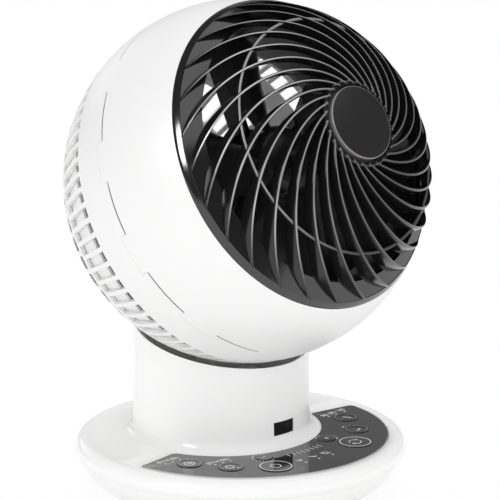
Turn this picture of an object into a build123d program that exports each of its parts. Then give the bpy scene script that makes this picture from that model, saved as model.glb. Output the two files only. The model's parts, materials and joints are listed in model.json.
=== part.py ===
from build123d import *
import math
import os

# Air circulator fan: a ball-shaped head on a short column and a round base.
# Millimetres and degrees. Z is up, the air leaves towards -Y, and the origin lies on
# the floor straight below the centre of the head.

# ---------------------------------------------------------------- driving sizes: head
head_radius = 105.0
rest_tilt = 27.0                # the head looks this far above the horizon at rest
shell_wall = 2.5
rim_angle = 61.0                # from the head axis to the edge of the front opening
seam_depth = 4.8                # the shells meet this far in front of the head centre
seam_gap = 0.9
tab_count = 12
tab_width = 23.6
tab_play = 0.15
tab_azimuth = 16.0              # where the first tab stands

# ------------------------------------------------------------- driving sizes: grille
rib_count = 27
rib_thickness = 1.5
rib_rim_azimuth = 11.44         # where the first rib meets the rim
rib_sweep = 96.7                # a rib turns this far about the head axis, hub to rim
rib_bow = 28.2                  # its arc stands this far off a straight line
rib_depth_hub = 5.5
rib_depth_crest = 6.0
rib_root = 0.5                  # the ribs run this far into the frame
rim_band_width = 5.0
frame_step = 0.6                # the frame's slope starts this far below its rim band
frame_run = 12.3                # from the rim in to the frame's inner edge
frame_rise = 10.9               # the inner edge stands this far in front of the rim
frame_wall = 2.0
seat_depth = 4.5                # the grille stands this far behind the shell's edge
dome_bulge = 2.0                # the dome stands this far outside the ball half way up
hub_disc_radius = 21.1
hub_disc_sink = 3.2             # the disc lies this far inside the ball's front
hub_cap_thickness = 3.8
hub_cap_bevel = 0.8
hub_collar_width = 3.9
hub_collar_drop = 1.6           # the ribs' hub ends lie this far below the disc's face
hub_step = 0.6
mid_ring_inset = 10.8           # from the frame's inner edge to the ring behind the ribs
mid_ring_drop = 4.6
mid_ring_width = 1.6
mid_ring_depth = 2.4
grille_play = 0.3

# ---------------------------------------------------- driving sizes: duct and impeller
impeller_inset = 4.5            # the blade tips lie this far inside the frame's inner edge
impeller_gap = 2.3
impeller_depth = 25.0
impeller_back = 17.5            # from the head centre to the impeller's rear edge
impeller_hub_radius = 21.0
impeller_wall = 2.0
impeller_boss_radius = 7.0
blade_count = 5
blade_thickness = 2.0
blade_azimuth = 25.0            # where the first blade stands at rest
blade_chord_root = 40.0
blade_chord_tip = 78.0
blade_pitch_root = 38.0
blade_pitch_tip = 18.5
blade_camber = 0.09             # of the chord
duct_wall = 2.0
duct_back = 2.0
duct_flare = 4.5
ledge_thickness = 2.0
ledge_inset = 6.5               # from the frame's inner edge out to the shell's ledge
flange_thickness = 1.8
flange_play = 1.5
flange_screw_inset = 2.4
flange_screw_count = 4
cup_depth = 17.0
vane_count = 6
vane_thickness = 3.0
vane_depth = 13.0
motor_radius = 24.0
motor_length = 33.0
motor_front = 13.0
motor_wall = 2.5
shaft_radius = 3.0
shaft_reach = 7.0               # the shaft stands out of the impeller this far
bearing_radius = 5.5
bearing_wall = 2.5              # metal round a bearing
bearing_reach = 3.0
rotor_gap = 9.0                 # room for the windings round the rotor
nut_radius = 7.0
nut_height = 8.5

# ------------------------------------------------------------ driving sizes: rear vent
vent_start_angle = 101.8
vent_rows = [                   # end angle, slots round the head, open share of a pitch
    (119.0, 72, 0.68),
    (135.0, 48, 0.72),
    (149.0, 36, 0.74),
]
vent_bar_angle = 2.0

# ------------------------------------------------------------- driving sizes: tilt yoke
tilt_low = 0.0                  # the head looks straight ahead
tilt_high = 90.0                # the head looks straight up
yoke_lean = 12.0                # the arm enters the ball this far behind straight down
yoke_gap = 4.0                  # between the half ring and the shells
yoke_thickness = 7.0
yoke_width = 14.0
yoke_boss_gap = 1.8             # from a lug to the yoke's boss, for the bush's flange
boss_radius = 9.0
arm_width = 20.0
arm_depth = 16.0
saddle_thickness = 1.5
slot_play = 1.8
hub_radius = 13.0
hub_bore_radius = 6.5
knee_height = 6.0
knee_gap = 1.5
tilt_pin_radius = 4.0
pin_inset = 1.2                 # the pivots end this far below the yoke's outside
lug_inset = 1.3                 # the lugs start this far inside the duct's bore
lug_thickness = 6.0
lug_radius = 11.0
bush_radius = 6.0
bush_flange = 2.0
bush_flange_thickness = 1.2
tilt_motor_radius = 12.0
tilt_motor_length = 20.0

# ------------------------------------------------------- driving sizes: column and base
neck_gap = 3.2                  # between the ball and the column's cupped rim
neck_room = 28.0                # from the deck's underside to the ball's lowest point
column_radius = 51.6
column_flare = 0.9
column_flare_height = 36.6      # above the base
column_offset = 20.4            # the column stands this far behind the head centre
column_fillet = 6.6
base_reach = 45.9               # the base stands out this far beyond the column
base_offset = 4.4
base_top = 33.4
base_edge_inset = 7.0           # insets of the base's outline from its widest circle
base_seam_inset = 2.3
base_side_inset = 8.7
base_floor_inset = 23.5
base_widest_drop = 5.9          # depths below the base's top
base_seam_drop = 10.9
base_side_height = 12.0
base_wall = 2.5
foot_height = 2.0
foot_pocket = 0.8
foot_bevel = 0.6
foot_radius = 8.0
foot_inset = 12.0               # from the edge of the flat floor to a foot's centre
foot_count = 5

# --------------------------------------------------------- driving sizes: swing drive
deck_rise = 18.6                # the deck's underside above the base's top
deck_thickness = 3.0
deck_lug_radius = 4.6
deck_lug_height = 10.0
spigot_radius = 12.0
spigot_groove = 2.0
retainer_thickness = 2.6
retainer_gap = 0.4
washer_thickness = 1.0
washer_width = 5.0
gear_gap = 1.5
gear_module = 1.25
gear_teeth = 36
gear_reach = 80.0               # the toothed sector covers this far each side of +Y
gear_pressure = 22.5
pinion_teeth = 10
gear_face = 5.0
gear_backlash = 0.3
swing_motor_radius = 14.0
swing_motor_length = 18.0
swing_boss_radius = 5.0
swing_neck_radius = 8.0
swing_shaft_radius = 2.5
swing_shaft_depth = 9.0

# ------------------------------------------------------- driving sizes: control panel
panel_outer_inset = 3.1         # from the flat top's edge to the panel
panel_inner_inset = 7.6         # from the column to the panel
panel_outer_end = -5.2          # azimuth of the outer corner, about the base centre
panel_inner_end = -18.6         # azimuth of the inner corner, about the column
panel_corner = 3.0
panel_thickness = 1.2
panel_play = 0.15
outer_buttons = {               # turn from the front, inset from the panel's edge, radius
    "on_timer_button": (-69.2, 18.6, 7.1),
    "off_timer_button": (-48.9, 18.7, 7.1),
    "power_button": (-27.8, 17.3, 9.6),
    "mode_button": (27.8, 17.3, 9.6),
    "tilt_swing_button": (48.9, 18.7, 7.1),
    "side_swing_button": (69.2, 18.6, 7.1),
}
speed_button_radius = 5.4
speed_step = (6.7, 16.6)        # from a large button to the speed button beside it
button_rise = 0.5
button_bevel = 0.4
button_travel = 0.6
button_play = 0.3
button_flange = 1.3
button_flange_thickness = 1.2
button_flange_gap = 0.1
button_stem_radius = 2.5
lamp_rows = [                   # turn from the front, inset, lamps in the row, their step
    (-81.4, 14.4, 3, 5.7),
    (-59.2, 25.2, 3, 5.7),
    (79.0, 25.5, 3, 6.6),
    (55.5, 25.7, 1, 0.0),
    (-12.6, 23.4, 3, 11.0),
    (-17.0, 34.7, 8, 4.4),
]
lamp_size = (2.0, 1.2, 0.9)
board_drop = 8.9                # the circuit board's top below the cover's ceiling
board_thickness = 1.6
board_outer_inset = 10.5
board_inner_outset = 5.5
board_boss_radius = 2.5
board_boss_inset = 4.1
board_boss_turns = (15.1, 61.3)
board_screw_radius = 1.0
board_screw_head_radius = 2.2
board_screw_head_height = 1.3
switch_width = 6.0
switch_height = 3.0
receiver_window_width = 16.0
receiver_window_rise = 6.6      # above the base
receiver_window_height = 8.0
receiver_size = (6.0, 3.6, 6.0)
receiver_gap = 0.9

# --------------------------------------------------------------- driving sizes: inside
cover_boss_azimuths = (-90.0, 35.0, 145.0)
cover_boss_inset = 24.5
boss_outer_radius = 3.4
boss_meeting_height = 12.0
screw_radius = 1.4
screw_bite = 9.0
screw_head_radius = 2.8
screw_head_height = 1.6
screw_sink = 0.4
ballast_radius = 58.0
ballast_thickness = 4.0
power_board_size = (52.0, 34.0)
power_board_inset = 35.2        # from the base's back to the middle of the board
power_board_gap = 1.5
power_post_radius = 2.5
power_post_inset = 4.0
inlet_rise = 2.5                # the socket's axis above the power board's underside
inlet_radius = 5.0
inlet_bore_radius = 2.8
inlet_bore_depth = 9.0
inlet_pin_radius = 0.7
inlet_sink = 1.5
inlet_body = (14.0, 11.0, 6.4)

# ------------------------------------------------------------------- named clearances
fit_play = 0.05                 # round pieces that turn in, or are pressed into, another
side_play = 0.3                 # moving faces that pass each other
nothing = 0.01                  # keeps the edges of cutting tools off the faces they cut

# ------------------------------------------------------------------------ worked out
deck_height = base_top + deck_rise
head_height = deck_height + neck_room + head_radius
inner_radius = head_radius - shell_wall
tilt_cos = math.cos(math.radians(rest_tilt))
tilt_sin = math.sin(math.radians(rest_tilt))
head_frame = Plane(
    origin=(0, 0, head_height), x_dir=(1, 0, 0), z_dir=(0, -tilt_cos, tilt_sin)
).location

rim_radius = head_radius * math.sin(math.radians(rim_angle))
rim_height = head_radius * math.cos(math.radians(rim_angle))
seat_height = rim_height - seat_depth
frame_radius = rim_radius - frame_run
frame_front = rim_height + frame_rise
frame_lip = frame_wall * math.hypot(frame_run, frame_rise) / frame_run
mid_ring_radius = frame_radius - mid_ring_inset
hub_disc_height = head_radius - hub_disc_sink
hub_collar_radius = hub_disc_radius + hub_collar_width
dome_hub_height = hub_disc_height - hub_collar_drop
ledge_radius = frame_radius + ledge_inset
impeller_radius = frame_radius - impeller_inset
duct_radius = impeller_radius + impeller_gap
flange_top = seat_height - ledge_thickness
duct_front = frame_front - frame_lip - side_play
impeller_front = impeller_back + impeller_depth
motor_back = motor_front - motor_length

yoke_outer_radius = inner_radius - yoke_gap
yoke_inner_radius = yoke_outer_radius - yoke_thickness
lug_inner = duct_radius - lug_inset
yoke_boss_face = lug_inner + lug_thickness + yoke_boss_gap
deck_top = deck_height + deck_thickness
stem_low = deck_top + washer_thickness
gear_height = stem_low + gear_gap
knee_low = gear_height + gear_face + knee_gap
gear_pitch_radius = gear_module * gear_teeth / 2
pinion_pitch_radius = gear_module * pinion_teeth / 2
swing_motor_place = (0.0, gear_pitch_radius + pinion_pitch_radius)

base_radius = column_radius + base_reach
base_edge_radius = base_radius - base_edge_inset
base_seam_radius = base_radius - base_seam_inset
base_side_radius = base_radius - base_side_inset
base_floor_radius = base_radius - base_floor_inset
base_widest_height = base_top - base_widest_drop
base_seam_height = base_top - base_seam_drop
panel_outer_radius = base_edge_radius - panel_outer_inset
panel_inner_radius = column_radius + panel_inner_inset
panel_floor = base_top - panel_thickness
cover_ceiling = base_top - base_wall
floor_top = foot_height + base_wall
board_top = cover_ceiling - board_drop
board_outer_radius = panel_outer_radius - board_outer_inset
board_inner_radius = panel_inner_radius - board_inner_outset
button_foot = board_top + switch_height + button_travel + fit_play
window_low = base_top + receiver_window_rise
window_high = window_low + receiver_window_height
screw_seat = foot_height + screw_head_height + screw_sink
power_board_low = floor_top + ballast_thickness + power_board_gap
power_board_top = power_board_low + board_thickness
power_board_y = base_offset + base_side_radius - power_board_inset
power_board_back = power_board_y + power_board_size[1] / 2
inlet_height = power_board_low + inlet_rise
inlet_face = base_offset + base_side_radius - inlet_sink


def polar(radius, azimuth, centre_y=0.0):
    """Point at this radius and azimuth about a centre on the Y axis."""
    turn = math.radians(azimuth)
    return radius * math.cos(turn), centre_y + radius * math.sin(turn)


def on_panel(turn, inset):
    """Point on the panel, this far inside its outer edge, turned from the front."""
    return polar(panel_outer_radius - inset, turn - 90, base_offset)


def beside(name, step_x):
    """Place and radius of the speed button next to a large button."""
    turn, inset, _ = outer_buttons[name]
    x, y = on_panel(turn, inset)
    return x + step_x, y + speed_step[1], speed_button_radius


buttons = {                     # centre x, centre y, cap radius
    name: (*on_panel(turn, inset), radius)
    for name, (turn, inset, radius) in outer_buttons.items()
}
buttons["speed_minus_button"] = beside("power_button", speed_step[0])
buttons["speed_plus_button"] = beside("mode_button", -speed_step[0])
lamp_places = [
    (on_panel(turn, inset)[0] + step * k, on_panel(turn, inset)[1])
    for turn, inset, count, step in lamp_rows
    for k in range(count)
]
front_turn, side_turn = board_boss_turns
board_bosses = [
    polar(board_outer_radius - board_boss_inset, side * front_turn - 90, base_offset)
    for side in (-1, 1)
] + [
    polar(board_inner_radius + board_boss_inset, side * side_turn - 90, column_offset)
    for side in (-1, 1)
]
cover_bosses = [
    polar(base_radius - cover_boss_inset, azimuth, base_offset)
    for azimuth in cover_boss_azimuths
]
foot_places = [
    polar(base_floor_radius - foot_inset, 90 + 360 / foot_count * k, base_offset)
    for k in range(foot_count)
]
deck_screw_places = [
    polar(column_radius - base_wall - deck_lug_radius + 1.0, azimuth, column_offset)
    for azimuth in (30, 150, 270)
]
flange_screw_places = [
    polar(ledge_radius + flange_screw_inset, 45 + 360 / flange_screw_count * k)
    for k in range(flange_screw_count)
]
power_posts = [
    (i * (power_board_size[0] / 2 - power_post_inset),
     power_board_y + j * (power_board_size[1] / 2 - power_post_inset))
    for i in (-1, 1) for j in (-1, 1)
]


# ------------------------------------------------------------------------- helpers
def on_sphere(radius, angle):
    """Point of a head profile at this radius and angle from the head axis."""
    return radius * math.sin(math.radians(angle)), radius * math.cos(math.radians(angle))


def upright(points):
    """Profile points (radius, height) as points of the XZ plane."""
    return [(radius, 0, height) for radius, height in points]


def turned(points):
    """Solid of revolution about Z from a closed polygon of (radius, height)."""
    return revolve(make_face(Polyline(*upright(points), close=True)), Axis.Z)


def turned_edges(*edges):
    """Solid of revolution about Z from edges that close a profile."""
    return revolve(make_face(edges), Axis.Z)


def arc(start, middle, end):
    return ThreePointArc(*upright([start, middle, end]))


def line(start, end):
    return Line(*upright([start, end]))


def disc(radius, low, high, place=(0.0, 0.0)):
    """Upright cylinder between two heights."""
    return Pos(place[0], place[1], (low + high) / 2) * Cylinder(radius, high - low)


def tube(outer, inner, low, high, place=(0.0, 0.0)):
    ring = disc(outer, low, high, place)
    return ring - disc(inner, low - nothing, high + nothing, place)


def rod_along_x(radius, low, high):
    """Cylinder on the X axis between two places."""
    return Pos((low + high) / 2, 0, 0) * Rot(0, 90, 0) * Cylinder(radius, high - low)


def screws(places, seat, end):
    """Screws with their heads below a seat and their points at an end height."""
    return Compound([
        disc(screw_head_radius, seat - screw_head_height, seat, place)
        + disc(screw_radius, seat - nothing, end, place)
        for place in places
    ])


def block(low, high):
    """Box between two corners."""
    size = [b - a for a, b in zip(low, high)]
    centre = [(a + b) / 2 for a, b in zip(low, high)]
    return Pos(*centre) * Box(*size)


def mirrored(shape):
    return mirror(shape, Plane.YZ)


def shell_zone(start, end, outer, inner):
    """Part of a hollow ball between two angles from the head axis."""
    middle = (start + end) / 2
    return turned_edges(
        arc(on_sphere(outer, start), on_sphere(outer, middle), on_sphere(outer, end)),
        line(on_sphere(outer, end), on_sphere(inner, end)),
        arc(on_sphere(inner, end), on_sphere(inner, middle), on_sphere(inner, start)),
        line(on_sphere(inner, start), on_sphere(outer, start)),
    )


# ------------------------------------------------------------------------ head shells
def seam_blocks(play):
    """The blocks that bound the tabs of the front shell, grown by a play."""
    radial = 4 * shell_wall
    one = block(
        (head_radius - radial, -tab_width / 2 - play, -play),
        (head_radius + radial, tab_width / 2 + play, seam_depth + nothing),
    )
    pitch = 360 / tab_count
    return [Rot(0, 0, tab_azimuth + pitch * k) * one for k in range(tab_count)]


def arm_slot():
    """Cutter for the slot in which the yoke's arm travels as the head tilts."""
    spare = math.degrees(math.asin((arm_depth / 2 + slot_play) / inner_radius))
    start = 90 + yoke_lean + tilt_low - spare
    end = 90 + yoke_lean + tilt_high + spare
    low, high = inner_radius - 6, head_radius + 6

    def place(radius, angle):
        across, along = on_sphere(radius, angle)
        return (0, -across, along)

    middle = (start + end) / 2
    face = make_face([
        ThreePointArc(place(high, start), place(high, middle), place(high, end)),
        Line(place(high, end), place(low, end)),
        ThreePointArc(place(low, end), place(low, middle), place(low, start)),
        Line(place(low, start), place(high, start)),
    ])
    return extrude(face, arm_width / 2 + slot_play, dir=(1, 0, 0), both=True)


def make_front_shell():
    """Half ball in front of the seam, with the ledge that the grille stands on."""
    body = shell_zone(rim_angle, 90, head_radius, inner_radius)
    body -= disc(rim_radius, 0, head_radius)
    skirt = body & disc(head_radius + 1, -nothing, seam_depth)
    tabs = skirt & Compound(seam_blocks(0))
    body &= disc(head_radius + 1, seam_depth, head_radius)
    ledge = turned([
        (ledge_radius, flange_top),
        (math.sqrt(inner_radius**2 - flange_top**2) + shell_wall / 2, flange_top),
        (math.sqrt(inner_radius**2 - seat_height**2) + shell_wall / 2, seat_height),
        (ledge_radius, seat_height),
    ])
    for place in flange_screw_places:
        ledge -= disc(screw_radius + fit_play, flange_top - 1, seat_height + 1, place)
    return body + tabs + ledge


def vent_slots():
    """Cutters for the slots of the rear vent: rows of tapering radial slots."""
    cutters = []
    start = vent_start_angle
    for end, count, share in vent_rows:
        outer, _ = on_sphere(head_radius + 5, start)
        inner, _ = on_sphere(inner_radius - 5, end)
        pitch = 360 / count
        half = math.radians(pitch * share / 2)
        front = on_sphere(head_radius, start)[1]
        back = on_sphere(inner_radius, end)[1]
        reach = 1.02 * max(outer, head_radius)
        wedge = extrude(
            make_face(Polyline(
                (inner * math.cos(half), -inner * math.sin(half)),
                (reach * math.cos(half), -reach * math.sin(half)),
                (reach * math.cos(half), reach * math.sin(half)),
                (inner * math.cos(half), inner * math.sin(half)),
                close=True,
            )),
            front - back,
        )
        zone = shell_zone(start, end, head_radius + 1, inner_radius - 1)
        slot = (Pos(0, 0, back) * wedge) & zone
        cutters += [Rot(0, 0, 90 + pitch * (k + 0.5)) * slot for k in range(count)]
        start = end + vent_bar_angle
    return cutters


def make_rear_shell():
    """Half ball behind the seam, with the vent and the arm's slot."""
    front, middle, pole = 85.0, 130.0, 180.0
    outside = [on_sphere(head_radius, angle) for angle in (front, middle, pole)]
    inside = [on_sphere(inner_radius, angle) for angle in (pole, middle, front)]
    body = turned_edges(
        arc(*outside),
        line(outside[-1], inside[0]),
        arc(*inside),
        line(inside[-1], outside[0]),
    )
    body &= disc(head_radius + 1, -head_radius - 1, seam_depth - seam_gap)
    body -= seam_blocks(tab_play)
    body -= vent_slots()
    return body - arm_slot()


# ---------------------------------------------------------------------------- grille
def dome_points():
    """Hub, crest and rim points of the curve that the rib tops follow."""
    crest = (head_radius + dome_bulge) * math.sqrt(0.5)
    rim = on_sphere(head_radius, rim_angle - math.degrees(rim_band_width / head_radius))
    return (hub_collar_radius, dome_hub_height), (crest, crest), rim


def dome_offset(point, centre, depth):
    """Point moved towards the centre of the dome curve."""
    run, rise = point[0] - centre[0], point[1] - centre[1]
    length = math.hypot(run, rise)
    share = (length - depth) / length
    return centre[0] + run * share, centre[1] + rise * share


def circle_centre(a, b, c):
    """Centre of the circle through three points."""
    rows = []
    for p, q in ((a, b), (b, c)):
        rows.append((q[0] - p[0], q[1] - p[1],
                     (q[0]**2 + q[1]**2 - p[0]**2 - p[1]**2) / 2))
    (a1, b1, c1), (a2, b2, c2) = rows
    scale = a1 * b2 - a2 * b1
    return (c1 * b2 - c2 * b1) / scale, (a1 * c2 - a2 * c1) / scale


def rib_zone():
    """Body of revolution that bounds the ribs: dome above, frame and free edge below."""
    hub, crest, rim = dome_points()
    centre = circle_centre(hub, crest, rim)
    low_hub = dome_offset(hub, centre, rib_depth_hub)
    low_crest = dome_offset(crest, centre, rib_depth_crest)
    rim_in = (rim[0] + rib_root, rim[1] - frame_step - 2 * rib_root)
    foot = (frame_radius + rib_root, frame_front - 2 * rib_root)
    inside = hub_collar_radius - 3.0
    return turned_edges(
        arc(hub, crest, rim),
        line(rim, rim_in),
        line(rim_in, foot),
        arc(foot, low_crest, low_hub),
        line(low_hub, (inside, low_hub[1])),
        line((inside, low_hub[1]), (inside, hub[1])),
        line((inside, hub[1]), hub),
    )


def rib_band():
    """One rib seen along the head axis: a band on a circular arc from hub to rim."""
    rim_end = polar(rim_radius, 0)
    hub_end = polar(hub_collar_radius - frame_wall, -rib_sweep)
    run, rise = rim_end[0] - hub_end[0], rim_end[1] - hub_end[1]
    chord = math.hypot(run, rise)
    radius = (chord**2 / 4 + rib_bow**2) / (2 * rib_bow)
    back = (radius - rib_bow) / chord
    centre = ((rim_end[0] + hub_end[0]) / 2 - rise * back,
              (rim_end[1] + hub_end[1]) / 2 + run * back)
    half = math.degrees(math.asin(chord / 2 / radius))
    half = 180 - half if rib_bow > radius else half
    middle = math.degrees(math.atan2(-run, rise))

    def place(offset, turn):
        x, y = polar(radius + offset, turn)
        return centre[0] + x, centre[1] + y

    thick = rib_thickness / 2
    ends = (middle - half, middle, middle + half)
    outside = [place(thick, turn) for turn in ends]
    inside = [place(-thick, turn) for turn in reversed(ends)]
    band = make_face([
        ThreePointArc(*outside),
        Line(outside[-1], inside[0]),
        ThreePointArc(*inside),
        Line(inside[-1], outside[0]),
    ])
    return extrude(band, head_radius + 10)


def make_rim_frame():
    """Rim band on the ball's surface, then a ring that slopes up to its inner edge."""
    _, _, rim = dome_points()
    edge = rim_radius - grille_play
    edge_top = math.sqrt(head_radius**2 - edge**2)
    between = on_sphere(head_radius, rim_angle - math.degrees(rim_band_width / head_radius) / 2)
    start = (rim[0], rim[1] - frame_step)
    slope = (frame_front - start[1]) / (rim[0] - frame_radius)
    lip = frame_front - frame_lip
    hollow_edge = edge - frame_wall
    hollow_top = lip - slope * (hollow_edge - frame_radius)
    return turned_edges(
        line((edge, seat_height), (edge, edge_top)),
        arc((edge, edge_top), between, rim),
        line(rim, start),
        line(start, (frame_radius, frame_front)),
        line((frame_radius, frame_front), (frame_radius, lip)),
        line((frame_radius, lip), (hollow_edge, hollow_top)),
        line((hollow_edge, hollow_top), (hollow_edge, seat_height)),
        line((hollow_edge, seat_height), (edge, seat_height)),
    )


def make_mid_ring():
    """Thin ring that ties the ribs together behind their outer edges."""
    hub, crest, rim = dome_points()
    centre = circle_centre(hub, crest, rim)
    dome_radius = math.hypot(rim[0] - centre[0], rim[1] - centre[1])
    rise = math.sqrt(dome_radius**2 - (mid_ring_radius - centre[0])**2)
    top = centre[1] + rise - mid_ring_drop
    half = mid_ring_width / 2
    return tube(mid_ring_radius + half, mid_ring_radius - half, top - mid_ring_depth, top)


def make_front_grille():
    """One moulding: rim frame, swept ribs, a thin mid ring and the hub seat."""
    rib = rib_band() & rib_zone()
    pitch = 360 / rib_count
    ribs = [Rot(0, 0, rib_rim_azimuth + pitch * k) * rib for k in range(rib_count)]
    hub_seat = disc(hub_collar_radius, dome_hub_height - rib_depth_hub, dome_hub_height - hub_step)
    cap_seat = hub_disc_height - hub_cap_thickness
    hub_seat -= disc(hub_disc_radius + grille_play, cap_seat, hub_disc_height)
    return make_rim_frame() + ribs + make_mid_ring() + hub_seat


def make_hub_cap():
    """Flat bare disc with a bright chamfered edge, in the middle of the grille."""
    cap = disc(hub_disc_radius, hub_disc_height - hub_cap_thickness, hub_disc_height)
    return chamfer(cap.edges().group_by(Axis.Z)[-1], hub_cap_bevel)


# ------------------------------------------------------------------ duct and impeller
def make_shroud():
    """Flared ring round the impeller with the flange under the shell's ledge."""
    flange_radius = math.sqrt(inner_radius**2 - flange_top**2) - flange_play
    outer = duct_radius + duct_wall
    flare_top = duct_back + 2 * duct_flare
    return turned([
        (duct_radius, duct_front),
        (duct_radius, flare_top),
        (duct_radius + duct_flare, duct_back),
        (outer + duct_flare, duct_back),
        (outer, flare_top),
        (outer, flange_top - flange_thickness),
        (flange_radius, flange_top - flange_thickness),
        (flange_radius, flange_top),
        (outer, flange_top),
        (outer, duct_front),
    ])


def make_motor_cup():
    """Cup that holds the fan motor, on vanes that straighten the air."""
    bore = motor_radius + fit_play
    outer = bore + duct_wall
    neck = bearing_radius + bearing_wall + 1.0
    cup = turned([
        (bore, motor_front - cup_depth),
        (outer, motor_front - cup_depth),
        (outer, motor_front + duct_wall),
        (neck, motor_front + duct_wall),
        (neck, motor_front),
        (bore, motor_front),
    ])
    vane = block(
        (outer - 1, -vane_thickness / 2, motor_front + duct_wall - vane_depth),
        (duct_radius + 1, vane_thickness / 2, motor_front + duct_wall),
    )
    pitch = 360 / vane_count
    return cup + [Rot(0, 0, pitch * (k + 0.5)) * vane for k in range(vane_count)]


def make_air_duct():
    """Shroud round the impeller, with motor cup, vanes and the lugs of the tilt axis."""
    shroud = make_shroud()
    lug_outer = lug_inner + lug_thickness
    lug_top = duct_back + 2 * duct_flare
    lug = block((lug_inner, -lug_radius, 0), (lug_outer, lug_radius, lug_top))
    lug += rod_along_x(lug_radius, lug_inner, lug_outer)
    inside = block((0, -lug_radius, -lug_radius), (lug_inner, lug_radius, lug_top + 1))
    outside = block(
        (lug_outer, -lug_radius, -lug_radius),
        (lug_outer + duct_flare + lug_thickness, lug_radius, lug_top),
    )
    shroud -= inside + mirrored(inside)
    shroud -= outside + mirrored(outside)
    duct = shroud + make_motor_cup() + lug + mirrored(lug)
    bore = rod_along_x(bush_radius + fit_play, lug_inner - 2, lug_outer + lug_thickness)
    duct -= bore + mirrored(bore)
    for place in flange_screw_places:
        duct -= disc(screw_radius + side_play, flange_top - 4, flange_top + 1, place)
    return duct


def make_flange_screws():
    """Screws that hold the duct's flange to the front shell's ledge."""
    low = flange_top - flange_thickness
    return screws(flange_screw_places, low, seat_height - screw_sink)


def make_motor_housing():
    """Round can of the fan motor, open at the back."""
    nose = disc(bearing_radius + bearing_wall, motor_front - 1, motor_front + bearing_reach)
    can = disc(motor_radius, motor_back, motor_front) + nose
    can -= disc(motor_radius - motor_wall, motor_back - 1, motor_front - motor_wall)
    return can - disc(bearing_radius + fit_play, motor_back, motor_front + 2 * bearing_reach)


def make_motor_end_cap():
    cap = disc(motor_radius, motor_back - motor_wall, motor_back)
    cap += disc(bearing_radius + bearing_wall, motor_back - nothing, motor_back + 5)
    return cap - disc(bearing_radius + fit_play, motor_back - 1.0, motor_back + 6)


def make_motor_bearings():
    """Two sleeve bearings, one in the can and one in the end cap."""
    bore = shaft_radius + fit_play
    front = tube(bearing_radius, bore, motor_front - motor_wall, motor_front + bearing_reach)
    rear = tube(bearing_radius, bore, motor_back - 1.0, motor_back + 5)
    return Compound([front, rear])


def make_motor_rotor():
    bore = shaft_radius + fit_play
    return tube(motor_radius - rotor_gap, bore, motor_back + 7, motor_front - 2 * motor_wall)


def make_motor_shaft():
    return disc(shaft_radius, motor_back - 0.8, impeller_front + shaft_reach)


def blade_section(radius, chord, pitch):
    """Cambered blade section, seen from the tip towards the hub."""
    camber = blade_camber * chord
    turn = math.radians(pitch)
    height = impeller_back + impeller_depth / 2

    def place(along, across):
        tangent = along * math.cos(turn) - across * math.sin(turn)
        rise = along * math.sin(turn) + across * math.cos(turn)
        return (radius, tangent, height + rise)

    half = chord / 2
    thick = blade_thickness / 2
    return make_face([
        ThreePointArc(place(-half, thick), place(0, camber + thick), place(half, thick)),
        Line(place(half, thick), place(half, -thick)),
        ThreePointArc(place(half, -thick), place(0, camber - thick), place(-half, -thick)),
        Line(place(-half, -thick), place(-half, thick)),
    ])


def make_impeller_hub():
    """Rounded hub, hollow at the back, with a boss for the shaft."""
    inside = impeller_hub_radius - impeller_wall
    shoulder = impeller_front - 6
    return turned([
        (0, impeller_front + 1.5),
        (nut_radius + 4, impeller_front + 1.0),
        (impeller_hub_radius - 3, impeller_front - 2),
        (impeller_hub_radius, shoulder),
        (impeller_hub_radius, impeller_back),
        (inside, impeller_back),
        (inside, shoulder),
        (impeller_boss_radius, shoulder + 2),
        (impeller_boss_radius, impeller_back + impeller_wall),
        (0, impeller_back + impeller_wall),
    ])


def make_impeller():
    """Axial impeller: a hollow hub and twisted blades of widening chord."""
    middle_radius = (impeller_hub_radius + impeller_radius) / 2
    root_radius = impeller_hub_radius - impeller_wall / 2
    blade = loft([
        blade_section(root_radius, blade_chord_root, blade_pitch_root),
        blade_section(middle_radius, (blade_chord_root + blade_chord_tip) / 2,
                      0.45 * blade_pitch_root + 0.55 * blade_pitch_tip),
        blade_section(impeller_radius + 6, blade_chord_tip, blade_pitch_tip),
    ])
    blade &= disc(impeller_radius, impeller_back, impeller_front)
    blade -= disc(root_radius - 0.5, impeller_back - 1, impeller_front + 1)
    pitch = 360 / blade_count
    blades = [Rot(0, 0, blade_azimuth + pitch * k) * blade for k in range(blade_count)]
    impeller = make_impeller_hub() + blades
    return impeller - disc(shaft_radius + fit_play, impeller_back - 1, impeller_front + 9)


def make_impeller_nut():
    low = impeller_front + 1.5
    nut = turned([
        (0, low),
        (nut_radius, low),
        (nut_radius, low + 3),
        (nut_radius - 2.5, low + nut_height - 1),
        (0, low + nut_height),
    ])
    return nut - disc(shaft_radius + fit_play, low - 1, impeller_front + shaft_reach + fit_play)


# ------------------------------------------------------------------------- tilt yoke
def upright_head(shape):
    """Places a shape drawn about the tilt axis, with Z up, at the head centre."""
    return Pos(0, 0, head_height) * shape


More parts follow.
